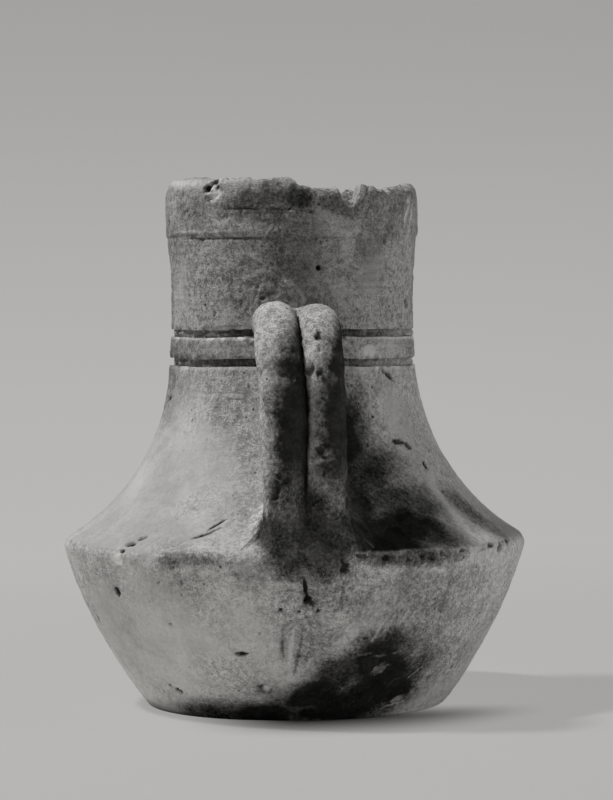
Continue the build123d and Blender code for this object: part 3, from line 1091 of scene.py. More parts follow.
@dataclass
class Clay:
    """Wears the outside of a shaped piece and roughs its inside as the potter's fingers left it."""

    jar: JarForm
    handle: HandleForm
    weather: WeatheringAndPaintedLight
    skin: float = 5.0 * MM  # wear reaches that deep into the seams
    base_quiet: float = 5.0 * MM  # the standing ring stays flat
    ridge: float = 0.35 * MM
    crumble: float = 0.35 * MM
    deep_crumble: float = 0.22  # more of it, by the depth of the break

    def age_wall(self, piece: Piece, lip: float = 0.0) -> None:
        """Age a turned member, with its wear and the shade and light painted on it.

        Args:
            piece: The member, still smooth.
            lip: How much of its top gives way where the lip is broken, or 0.
        """
        points = points_of(piece)
        wear = self.weather.wear(points)
        depth = self.jar.clearance(points)
        normal = outward(self.jar.clearance, points)
        tinted = ramp(depth, -self.skin, -0.7 * MM)
        share = tinted * (0.25 + 0.75 * ramp(points[:, 2], 0.5 * MM, self.base_quiet))
        aged = points + normal * (wear.lift * share)[:, None]
        aged[:, 2] += share * self.weather.groove_wander(points)
        inside = ramp(-depth, self.jar.wall - 1.6 * MM, self.jar.wall - 0.6 * MM)
        inside *= ramp(points[:, 2], self.jar.floor + 0.5 * MM, self.jar.floor + 8 * MM)
        turning = FINGERS.at(squeezed(points, level=0.04))
        aged -= squeezed(normal, upright=0.0) * (self.ridge * (1 + turning) * inside)[:, None]
        if lip:
            given = np.clip((points[:, 2] - self.jar.height + lip) / lip, 0, 1)
            drop = self.weather.lip_drop(points)
            crumbled = (self.crumble + self.deep_crumble * np.maximum(drop, 0)) * ramp(given, 0.8, 1.0)
            rough = crumbled * CRUMBS.at(points)
            aged[:, 2] -= given * drop + np.maximum(rough, -0.2 * MM)
            aged -= normal * (np.abs(rough) * 0.8)[:, None]
        aged[:, 2] = np.maximum(aged[:, 2], 0)
        move_points(piece, aged)
        self._keep(piece, wear, tinted)

    def age_handle(self, piece: Piece, distance: Field) -> None:
        """Age a roll or a luting, with the shade and light painted on it; a distance field describes its bare
        surface.
        """
        points = points_of(piece)
        wear = self.weather.wear(points)
        normal = outward(distance, points)
        share = ramp(self.jar.clearance(points), -2.5 * MM, -0.5 * MM)
        move_points(piece, points + normal * (wear.lift * share)[:, None])
        self._keep(piece, wear, share)

    @staticmethod
    def _keep(piece: Piece, wear: WearAndPaintedLight, shown: Array) -> None:
        """Store the tones of the wear and of the painted shade and light on the piece, by how far its surface
        shows.
        """
        for name in WORN_AND_PAINTED:
            share = 1.0 if name == "rough" else shown
            keep_values(piece, name, getattr(wear, name) * share)


@dataclass
class Body:
    """Floor disc, lower bowl, inner seam coil and shoulder, lapped onto each other."""

    jar: JarForm
    clay: Clay
    wall_step: float = 1.15 * MM
    round_step: float = 0.8 * MM
    coil_r: float = 6.5 * MM
    coil_set: float = 4.5 * MM
    coil_step: float = 1.3 * MM
    coil_trim: float = 0.05 * MM

    @property
    def split_r(self) -> float:
        """Radius of the lapped seam at the shoulder edge."""
        lap_z = self.jar.edge_z - self.jar.lap
        return (self.jar.lower_r(lap_z) + self.jar.lower_r(lap_z, self.jar.wall)) / 2

    @property
    def edge_middle(self) -> Vector:
        """Middle of the rounding of the shoulder edge."""
        return self.jar.edge_corner(self.jar.edge_round)

    @property
    def edge_seam(self) -> Vector:
        """Point of that rounding where bowl and shoulder meet."""
        rise = self.jar.edge_z - self.edge_middle.y
        return self.edge_middle + Vector((math.sqrt(self.jar.edge_round**2 - rise**2), rise))

    def build(self, bowl_finish: Material, shoulder_finish: Material) -> None:
        """Shape, wear and place the four members."""
        members = (
            ("floor_disc", self.disc_outline(), "base_disc", "bowl_clay", bowl_finish),
            ("lower_bowl_wall", self.bowl_outline(), "lower_bowl", "bowl_clay", bowl_finish),
            ("inner_seam_coil", self.coil_outline(), "seam_coil", "bowl_clay", bowl_finish),
            ("shoulder_wall", self.shoulder_outline(), "shoulder_cone", "shoulder_clay", shoulder_finish),
        )
        for name, outline, node, slot, finish in members:
            piece = spun(name, outline)
            self.clay.age_wall(piece)
            settle(piece, node, finish)

    def disc_outline(self) -> Outline:
        """Half section of the floor disc with the ledge it rests on."""
        jar = self.jar
        seat, ledge_r = jar.floor / 2, jar.disc_r + jar.disc_ledge
        corners = ((jar.disc_r, 0), (jar.disc_r, seat), (ledge_r, seat), (ledge_r, jar.floor), (0, jar.floor))
        return Outline((0, 0)).line(INNER_STEP, *corners)

    def bowl_outline(self) -> Outline:
        """Half section of the lower bowl."""
        jar = self.jar
        middle, radius = jar.lower_arc
        foot_middle = Vector((jar.lower_r(jar.base_round, jar.base_round), jar.base_round))
        foot_top = middle + (foot_middle - middle).normalized() * radius
        edge_low = middle + (self.edge_middle - middle).normalized() * radius
        lap_z, seat, ledge_r = jar.edge_z - jar.lap, jar.floor / 2, jar.disc_r + jar.disc_ledge
        inner_top = (jar.lower_r(lap_z, jar.wall), lap_z)
        inner_low = (jar.lower_r(jar.floor, jar.wall), jar.floor)
        outline = Outline((jar.disc_r, 0)).line(SEAM_STEP, (foot_middle.x, 0))
        outline.arc(self.round_step, foot_middle, foot_top).arc(self.wall_step, middle, edge_low)
        outline.arc(self.round_step, self.edge_middle, self.edge_seam)
        outline.line(SEAM_STEP, (self.split_r, jar.edge_z))
        outline.line(INNER_STEP, (self.split_r, lap_z), inner_top).arc(INNER_STEP, middle, inner_low)
        ledge = ((ledge_r, jar.floor), (ledge_r, seat), (jar.disc_r, seat), (jar.disc_r, 0))
        return outline.line(INNER_STEP, *ledge)

    def coil_outline(self) -> Outline:
        """Half section of the coil, flattened against the two inner walls."""
        jar = self.jar
        middle = jar.edge_corner(jar.wall) - Vector((self.coil_set, 0))
        count = math.ceil(math.tau * self.coil_r / self.coil_step)
        points = []
        for i in range(count + 1):
            way = Vector((math.cos(math.tau * i / count), math.sin(math.tau * i / count)))
            reach = self.coil_r
            while self._sunk(middle + reach * way) < jar.wall:
                reach -= self.coil_trim
            points.append(middle + reach * way)
        return Outline(points[0]).add(points)

    def _sunk(self, place: Vector) -> float:
        """Depth of a radius and height under the jar's outer surface."""
        return -self.jar.clearance(np.array([[place.x, 0, place.y]]))[0]

    def shoulder_outline(self) -> Outline:
        """Half section of the shoulder with its spigot inside the bowl."""
        jar = self.jar
        centre = jar.shoulder_centre
        edge_high = centre + (self.edge_middle - centre).normalized() * jar.shoulder_arc_r
        neck_split = (jar.bore_r + jar.neck_r) / 2
        lap_low, lap_high = jar.edge_z - jar.lap, jar.groove_z - jar.lap
        seam = (self.split_r, jar.edge_z)
        outline = Outline(seam).line(SEAM_STEP, self.edge_seam)
        outline.arc(self.round_step, self.edge_middle, edge_high)
        outline.arc(self.wall_step, centre, (jar.shoulder_r(jar.groove_z), jar.groove_z))
        outline.line(SEAM_STEP, (neck_split, jar.groove_z))
        outline.line(INNER_STEP, (neck_split, lap_high), (jar.shoulder_r(lap_high, jar.wall), lap_high))
        outline.arc(INNER_STEP, centre, jar.edge_corner(jar.wall))
        outline.arc(INNER_STEP, jar.lower_arc[0], (jar.lower_r(lap_low, jar.wall), lap_low))
        return outline.line(INNER_STEP, (self.split_r, lap_low), seam)


@dataclass
class Neck:
    """Neck with its two turned grooves, and the rim lapped onto it."""

    jar: JarForm
    clay: Clay
    wall_step: float = 0.68 * MM
    groove_step: float = 0.6 * MM
    lip_step: float = 0.7 * MM
    throat_step: float = 2.2 * MM
    rim_round: float = 3.0 * MM
    rim_swell: float = 2.4 * MM  # height over which the rim swells out of the neck
    lip_slope: float = 4.6 * MM  # the worn outside of the lip, across and down
    lip_fall: float = 8.5 * MM
    lip_give: float = 24.0 * MM  # height of the rim that shows the lip's breaks

    @property
    def split_r(self) -> float:
        """Radius of the lapped seams below and above the neck."""
        return (self.jar.bore_r + self.jar.neck_r) / 2

    def build(self, finish: Material) -> None:
        """Shape, wear and place the two members."""
        members = (
            ("neck_wall", self.neck_outline(), "neck_tube", 0.0),
            ("rim_band", self.rim_outline(), "rim_coil", self.lip_give),
        )
        for name, outline, node, give in members:
            piece = spun(name, outline)
            self.clay.age_wall(piece, give)
            settle(piece, node, finish)

    def wall_run(self, low: float, high: float) -> list[Vector]:
        """Outer wall between two heights."""
        count = math.ceil((high - low) / self.wall_step)
        heights = np.linspace(low, high, count + 1)
        centre = self.jar.shoulder_centre
        radii = self.jar.neck_curve(np.minimum(heights, self.jar.rim_z))
        swept = [self.jar.shoulder_r(z) if z < centre.y else r for z, r in zip(heights, radii)]
        return [Vector((float(r), float(z))) for r, z in zip(swept, heights)]

    def groove_run(self, low: float) -> list[Vector]:
        """Floor of a groove that begins at a height."""
        r = self.jar.neck_r - self.jar.groove_depth
        return Outline((r, low)).line(self.groove_step, (r, low + self.jar.groove_width)).points

    def neck_outline(self) -> Outline:
        """Half section of the neck with its spigot inside the shoulder."""
        jar = self.jar
        band_z = jar.groove_z + jar.groove_width
        upper_z = band_z + jar.band_height
        lap_low, lap_high = jar.groove_z - jar.lap, jar.rim_z - jar.lap
        sweep_reach = jar.shoulder_centre.x - jar.bore_r
        sweep_z = jar.shoulder_centre.y - math.sqrt((jar.shoulder_arc_r + jar.wall) ** 2 - sweep_reach**2)
        lower, band = self.groove_run(jar.groove_z), self.wall_run(band_z, upper_z)
        upper, wall = self.groove_run(upper_z), self.wall_run(upper_z + jar.groove_width, jar.rim_z)
        foot = (self.split_r, jar.groove_z)
        outline = Outline(foot).line(SEAM_STEP, lower[0]).add(lower)
        for run in (band, upper, wall):
            outline.line(self.groove_step, run[0]).add(run)
        outline.line(SEAM_STEP, (self.split_r, jar.rim_z))
        outline.line(INNER_STEP, (self.split_r, lap_high), (jar.bore_r, lap_high), (jar.bore_r, sweep_z))
        outline.arc(INNER_STEP, jar.shoulder_centre, (jar.shoulder_r(lap_low, jar.wall), lap_low))
        return outline.line(INNER_STEP, (self.split_r, lap_low), foot)

    def rim_outline(self) -> Outline:
        """Half section of the rim with its spigot inside the neck."""
        jar = self.jar
        lap_z, round_z = jar.rim_z - jar.lap, jar.height - self.rim_round
        foot = (self.split_r, jar.rim_z)
        neck_r = float(jar.neck_curve(np.array([jar.rim_z]))[0])
        shares = np.linspace(0, 1, math.ceil(self.rim_swell / self.wall_step) + 1)
        radii = neck_r + (jar.rim_r - neck_r) * ramp(shares, 0, 1)
        swell = [Vector((float(r), jar.rim_z + self.rim_swell * float(s))) for r, s in zip(radii, shares)]
        turns = np.linspace(0, math.pi / 2, math.ceil(self.lip_fall / self.lip_step) + 1)
        sides = jar.rim_r - self.lip_slope * (1 - np.cos(turns))
        heights = jar.height - self.lip_fall + self.lip_fall * np.sin(turns)
        lip = [Vector((float(r), float(z))) for r, z in zip(sides, heights)]
        inner_middle = Vector((jar.bore_r + self.rim_round, round_z))
        outline = Outline(foot).line(SEAM_STEP, swell[0]).add(swell).line(self.wall_step, lip[0]).add(lip)
        outline.line(self.lip_step, (inner_middle.x, jar.height))
        outline.arc(self.lip_step, inner_middle, (jar.bore_r, round_z))
        outline.line(self.throat_step, (jar.bore_r, lap_z))
        return outline.line(INNER_STEP, (self.split_r, lap_z), foot)


@dataclass(frozen=True)
class Joint:
    """One end of the handle: a point inside it, the way the rolls leave it, and how far luting goes.

    Where it is worked out to nothing, the luting sinks that deep under the bare clay.
    """

    middle: Vector
    axis: Vector
    front: Vector
    reach: float
    sink: float

    def rays(self, round_angle: Array, slant: Array) -> Array:
        """Directions at angles round the axis and slants away from it, in radians."""
        side = np.array(self.front.cross(self.axis))
        about = np.cos(round_angle)[:, None] * np.array(self.front) + np.sin(round_angle)[:, None] * side
        return np.cos(slant)[:, None] * np.array(self.axis) + np.sin(slant)[:, None] * about


@dataclass
class Handle:
    """Two clay rolls side by side, and the luting round both of their ends."""

    form: HandleForm
    clay: Clay
    facets: int = 96
    row_step: float = 0.85 * MM
    below_edge: float = 8.0 * MM
    luting_columns: int = 220
    luting_rows: int = 84
    luting_wall: float = 2.5 * MM
    foot_reach: float = 46.0 * MM
    foot_sink: float = 0.9 * MM
    top_reach: float = 30.0 * MM
    top_sink: float = 3.4 * MM  # under the floors of the grooves
    luting_rim: float = 0.93  # share of the sheet inside its sunken rims
    rim_sink: float = 1.2 * MM
    roll_gap: float = 0.02 * MM  # from the plane between the rolls
    scan: tuple[float, float, float] = (4.0, 150.0, 1.5)  # slants tried, in degrees: first, last, step
    trace_steps: int = 60

    def build(self, finish: Material) -> None:
        """Shape, wear and place the rolls and the lutings."""
        form = self.form
        rolls = (
            ("left_roll", -1, 0.0, "handle_roll_left"),
            ("right_roll", 1, form.right_drop, "handle_roll_right"),
        )
        for name, side, drop, node in rolls:
            piece = self.roll(name, side, drop)
            self.clay.age_handle(piece, form.rolls_distance)
            settle(piece, node, finish)
        lutings = (
            ("top_luting", self.top_joint(), "handle_top_luting"),
            ("foot_luting", self.foot_joint(), "handle_foot_luting"),
        )
        for name, joint, node in lutings:
            piece = self.luting(name, joint)
            self.clay.age_handle(piece, form.clay)
            self.thicken(piece)
            settle(piece, node, finish)

    def foot_joint(self) -> Joint:
        """Where the rolls stand on the shoulder edge, facing up along them."""
        heights = self.form.jar.edge_z + np.array([2, 40]) * MM
        run = np.array([[0, -self.form.reach_at(z), z] for z in heights])
        low, high = (Vector(point) for point in self.form.upright(run, -1))
        axis = (high - low).normalized()
        front = Vector((0, -1, 0))
        front = (front - axis * front.dot(axis)).normalized()
        return Joint(low, axis, front, self.foot_reach, self.foot_sink)

    def top_joint(self) -> Joint:
        """Where the rolls leave the neck, facing out along them."""
        form = self.form
        inside = [[0, -form.jar.neck_r + form.seat, form.top_z - form.right_drop / 2]]
        middle = Vector(form.upright(np.array(inside), -1)[0])
        return Joint(middle, Vector((0, -1, 0)), Vector((0, 0, 1)), self.top_reach, self.top_sink)

    def extrude(self, way: Vector) -> None:
        """Draw the selected loop out along a straight run."""
        count = math.ceil(way.length / self.row_step)
        for _ in range(count):
            bpy.ops.mesh.extrude_region_move(TRANSFORM_OT_translate={"value": way / count})

    def roll(self, name: str, side: int, drop: float) -> Piece:
        """Clay roll drawn out of the neck, bent down and drawn on to the shoulder edge.

        Args:
            name: Name of the piece.
            side: -1 for the roll on the -X side, 1 for the other.
            drop: How much lower it leaves the neck.

        Returns:
            The roll, still smooth.
        """
        form, jar = self.form, self.form.jar
        start = Vector((side * form.offset, -jar.bore_r, form.top_z - drop))
        bend = form.bend_start(drop) + Vector((start.x, 0, 0))
        clear_bench()
        bpy.ops.mesh.primitive_circle_add(
            vertices=self.facets, radius=form.roll_r, location=start, rotation=(math.pi / 2, 0, 0)
        )
        piece = take(name)
        self.extrude(bend - start)
        steps = math.ceil(form.turn * form.bend_r / self.row_step)
        hub = bend - Vector((0, 0, form.bend_r))
        bpy.ops.mesh.spin(steps=steps, angle=form.turn, center=hub, axis=(-1, 0, 0))
        fall = bend.z - form.bend_r * (1 - math.cos(form.turn)) - jar.edge_z + self.below_edge
        self.extrude(form.run_direction * (fall / -form.run_direction.z))
        bpy.ops.mesh.select_all(action="SELECT")
        bpy.ops.mesh.fill_holes(sides=0)
        close_up()
        points = points_of(piece)
        points[:, 0] = side * np.maximum(side * points[:, 0], self.roll_gap)
        points = form.upright(points, -1)
        for _ in range(3):
            sunk = np.minimum(jar.clearance(points) + form.seat, 0)
            points -= outward(jar.clearance, points) * sunk[:, None]
        move_points(piece, points)
        return piece

    def trace(self, joint: Joint, ways: Array) -> Array:
        """How far from the joint's middle each ray leaves the clay, at most the joint's reach."""
        travel = np.zeros(len(ways))
        start = np.array(joint.middle)
        for _ in range(self.trace_steps):
            travel += np.maximum(-self.form.clay(start + travel[:, None] * ways), 0)
            travel = np.minimum(travel, joint.reach)
        return travel

    def slants(self, joint: Joint, angles: Array) -> tuple[Array, Array]:
        """Least and greatest slant, for each angle round the joint, at which rays leave within reach."""
        scan = np.radians(np.arange(*self.scan))
        every_angle = np.repeat(angles, len(scan))
        ways = joint.rays(every_angle, np.tile(scan, len(angles)))
        out = (self.trace(joint, ways) < 0.999 * joint.reach).reshape(len(angles), len(scan))
        first = out.argmax(axis=1)
        beyond = np.arange(len(scan)) > first[:, None]
        shut = beyond & ~out
        last = np.where(shut.any(axis=1), shut.argmax(axis=1) - 1, len(scan) - 1)
        return scan[first], scan[last]

    def luting(self, name: str, joint: Joint) -> Piece:
        """Clay worked round one end of the handle, as a sheet that dips under the bare surfaces.

        Args:
            name: Name of the piece.
            joint: The end of the handle.

        Returns:
            The sheet, closed round the handle.
        """
        clear_bench()
        columns, rows = self.luting_columns, self.luting_rows
        bpy.ops.mesh.primitive_grid_add(x_subdivisions=columns, y_subdivisions=rows, size=2)
        piece = take(name)
        bpy.ops.object.mode_set(mode="OBJECT")
        flat = points_of(piece)
        angles = np.unique(flat[:, 0].round(5))
        low, high = self.slants(joint, angles * math.pi)
        least = np.interp(flat[:, 0], angles, low)
        greatest = np.interp(flat[:, 0], angles, high)
        slant = least + (flat[:, 1] + 1) / 2 * (greatest - least)
        ways = joint.rays(flat[:, 0] * math.pi, slant)
        points = np.array(joint.middle) + self.trace(joint, ways)[:, None] * ways
        bare = 1 - ramp(self.form.luting_depth(points), 0.05 * MM, 0.4 * MM)
        edge = ramp(np.abs(flat[:, 1]), self.luting_rim, 1.0)
        sink = joint.sink * np.maximum(bare, edge) + self.rim_sink * edge
        move_points(piece, points - outward(self.form.clay, points) * sink[:, None])
        bpy.context.view_layer.objects.active = piece
        bpy.ops.object.mode_set(mode="EDIT")
        close_up()
        faces = piece.data.polygons
        middles = np.array([face.center for face in faces])
        facing = outward(self.form.clay, middles) * np.array([face.normal for face in faces])
        if facing.sum() < 0:
            bpy.ops.object.mode_set(mode="EDIT")
            bpy.ops.mesh.flip_normals()
            bpy.ops.object.mode_set(mode="OBJECT")
        return piece

    def thicken(self, piece: Piece) -> None:
        """Give a luting its thickness, inwards."""
        pick(piece)
        wall = piece.modifiers.new("wall", "SOLIDIFY")
        wall.thickness = self.luting_wall
        wall.offset = -1
        bpy.ops.object.modifier_apply(modifier=wall.name)


class Wiring:
    """Places and joins nodes in one node tree."""

    def __init__(self, tree: Group) -> None:
        """Work on a tree."""
        self.tree = tree

    def add(self, kind: str, inputs: dict[str | int, object], **settings: object) -> bpy.types.Node:
        """Node of a kind with its settings, and values or sockets on its inputs.

        Args:
            kind: Type name of the node.
            inputs: A value or an output socket for each input, by name or number.
            settings: Properties of the node itself.

        Returns:
            The node.
        """
        node = self.tree.nodes.new(kind)
        for name, value in settings.items():
            setattr(node, name, value)
        for name, value in inputs.items():
            if isinstance(value, Socket):
                self.tree.links.new(value, node.inputs[name])
            else:
                node.inputs[name].default_value = value
        return node

    def math(self, operation: str, first: object, second: object, clamp: bool = False) -> Socket:
        """Sum, product or other operation of two values."""
        node = self.add("ShaderNodeMath", {0: first, 1: second}, operation=operation, use_clamp=clamp)
        return node.outputs[0]

    def noise(self, vector: Socket, grain: float, detail: float, rough: float = 0.55) -> Socket:
        """Noise whose largest blotches have a size in metres."""
        inputs = {"Vector": vector, "Scale": 1 / grain, "Detail": detail, "Roughness": rough}
        return self.add("ShaderNodeTexNoise", inputs).outputs[0]

    def spread(self, value: Socket, low: float, high: float) -> Socket:
        """Value stretched so that low becomes 0 and high becomes 1, smoothly."""
        inputs = {"Value": value, "From Min": low, "From Max": high}
        return self.add("ShaderNodeMapRange", inputs, interpolation_type="SMOOTHSTEP").outputs[0]

    def stretched(self, vector: Socket, scale: tuple[float, float, float]) -> Socket:
        """Coordinates squeezed along the axes."""
        return self.add("ShaderNodeMapping", {"Vector": vector, "Scale": scale}).outputs[0]

    def tint(self, share: object, below: object, above: object) -> Socket:
        """Colour laid over another by a share."""
        return self.add("ShaderNodeMix", {0: share, 6: below, 7: above}, data_type="RGBA").outputs[2]

    def scaled(self, value: Socket, factor: float, rest: float) -> Socket:
        """Value times a factor, and a rest."""
        return self.add("ShaderNodeMath", {0: value, 1: factor, 2: rest}, operation="MULTIPLY_ADD").outputs[0]

    def use(self, group: Group, inputs: dict[str, object]) -> bpy.types.Node:
        """Shared effect placed in this tree."""
        return self.add("ShaderNodeGroup", inputs, node_tree=group)


def effect(name: str, draw: Callable[..., dict[str, Socket]], *extra: str) -> Group:
    """Shader node group that gives values.

    Args:
        name: Name of the group.
        draw: Wires the group and names its outputs, given the wiring and a socket for each input.
        extra: Names of the inputs after the coordinates, all of them values.

    Returns:
        The group.
    """
    tree = bpy.data.node_groups.new(name, "ShaderNodeTree")
    tree.interface.new_socket("Vector", in_out="INPUT", socket_type="NodeSocketVector")
    for label in extra:
        tree.interface.new_socket(label, in_out="INPUT", socket_type="NodeSocketFloat")
    given, out = tree.nodes.new("NodeGroupInput"), tree.nodes.new("NodeGroupOutput")
    drawn = draw(Wiring(tree), *(given.outputs[label] for label in ("Vector", *extra)))
    for label, value in drawn.items():
        tree.interface.new_socket(label, in_out="OUTPUT", socket_type="NodeSocketFloat")
        tree.links.new(value, out.inputs[label])
    return tree


class ClayEffects:
    """Effects that all the clay finishes share, each built once."""

    def __init__(self) -> None:
        """Build the groups."""
        self.mottle = effect("clay_mottle", self._mottle)
        self.specks = effect("clay_specks", self._specks)
        self.turning = effect("clay_turning", self._turning)
        self.strokes = effect("clay_strokes", self._strokes)
        self.breakup = effect("clay_breakup", self._breakup, "Share")
        self.grain = effect("clay_grain", self._grain)

    @staticmethod
    def _mottle(wiring: Wiring, vector: Socket) -> dict[str, Socket]:
        """Cloudy firing and staining, large and small, from 0 to 1."""
        return {
            "Cloud": wiring.spread(wiring.noise(vector, 42 * MM, 5, 0.62), 0.34, 0.66),
            "Patch": wiring.spread(wiring.noise(vector, 9 * MM, 6, 0.68), 0.32, 0.68),
        }

    @staticmethod
    def _specks(wiring: Wiring, vector: Socket) -> dict[str, Socket]:
        """Masks of dark pinholes and of pale grit in the clay, with ragged outlines."""
        warp = {"Vector": vector, "Scale": 1 / (1.4 * MM), "Detail": 2.0}
        warp = wiring.add("ShaderNodeTexNoise", warp).outputs["Color"]
        shift = wiring.add("ShaderNodeVectorMath", {0: warp, "Scale": 1.6 * MM}, operation="SCALE").outputs[0]
        vector = wiring.add("ShaderNodeVectorMath", {0: vector, 1: shift}, operation="ADD").outputs[0]
        masks = []
        for cell in (2.1 * MM, 4.2 * MM, 3.0 * MM):
            cells = wiring.add("ShaderNodeTexVoronoi", {"Vector": vector, "Scale": 1 / cell})
            chance = wiring.add("ShaderNodeSeparateColor", {"Color": cells.outputs["Color"]})
            chosen = wiring.math("GREATER_THAN", chance.outputs["Red"], 0.84)
            radius = wiring.scaled(chance.outputs["Green"], 0.16, 0.08)
            near = wiring.math("SUBTRACT", radius, cells.outputs["Distance"])
            masks.append(wiring.math("MULTIPLY", chosen, wiring.spread(near, -0.06, 0.08)))
        return {"Pinholes": wiring.math("MAXIMUM", masks[0], masks[1]), "Grit": masks[2]}

    @staticmethod
    def _turning(wiring: Wiring, vector: Socket) -> dict[str, Socket]:
        """Fine level lines left by turning."""
        flat = wiring.stretched(vector, (0.045, 0.045, 1.0))
        return {"Lines": wiring.spread(wiring.noise(flat, 2.6 * MM, 5, 0.7), 0.3, 0.7)}

    @staticmethod
    def _strokes(wiring: Wiring, vector: Socket) -> dict[str, Socket]:
        """Mask of thin slanting scratches, in loose groups."""
        slant = (0.0, math.radians(62), 0.0)
        turned = wiring.add("ShaderNodeMapping", {"Vector": vector, "Rotation": slant}).outputs[0]
        long = wiring.stretched(turned, (0.09, 1.0, 1.0))
        hairs = wiring.spread(wiring.noise(long, 1.1 * MM, 2, 0.5), 0.62, 0.72)
        groups = wiring.spread(wiring.noise(vector, 16 * MM, 4, 0.6), 0.5, 0.66)
        return {"Mask": wiring.math("MULTIPLY", hairs, groups)}

    @staticmethod
    def _breakup(wiring: Wiring, vector: Socket, share: Socket) -> dict[str, Socket]:
        """Dark or pale share broken into grainy patches: stains, fire-clouding and painted shade, or pale wear
        and painted highlights.
        """
        coarse = wiring.noise(vector, 12 * MM, 7, 0.72)
        fine = wiring.noise(vector, 1.8 * MM, 4, 0.7)
        rough = wiring.math("ADD", coarse, wiring.math("MULTIPLY", fine, 1.2))
        swing = wiring.math("MULTIPLY", wiring.math("SUBTRACT", rough, 1.1), 4.4)
        edge = wiring.math("MULTIPLY", share, wiring.math("SUBTRACT", 1.03, share))
        return {"Mask": wiring.math("ADD", share, wiring.math("MULTIPLY", swing, edge), clamp=True)}

    @staticmethod
    def _grain(wiring: Wiring, vector: Socket) -> dict[str, Socket]:
        """Height of the clay's grain, much of it finer than the mesh, round 0."""
        coarse = wiring.noise(vector, 2.6 * MM, 3, 0.75)
        fine = wiring.noise(vector, 0.95 * MM, 3, 0.7)
        return {"Height": wiring.math("SUBTRACT", wiring.math("ADD", coarse, fine), 1.0)}


def blank(name: str) -> tuple[Material, Wiring]:
    """New material with no nodes, opened for wiring."""
    material = bpy.data.materials.new(name)
    material.use_nodes = True
    material.node_tree.nodes.clear()
    return material, Wiring(material.node_tree)


def grey(value: float) -> tuple[float, float, float, float]:
    """Faintly warm grey of a linear value."""
    return (value * 1.012, value, value * 0.972, 1.0)


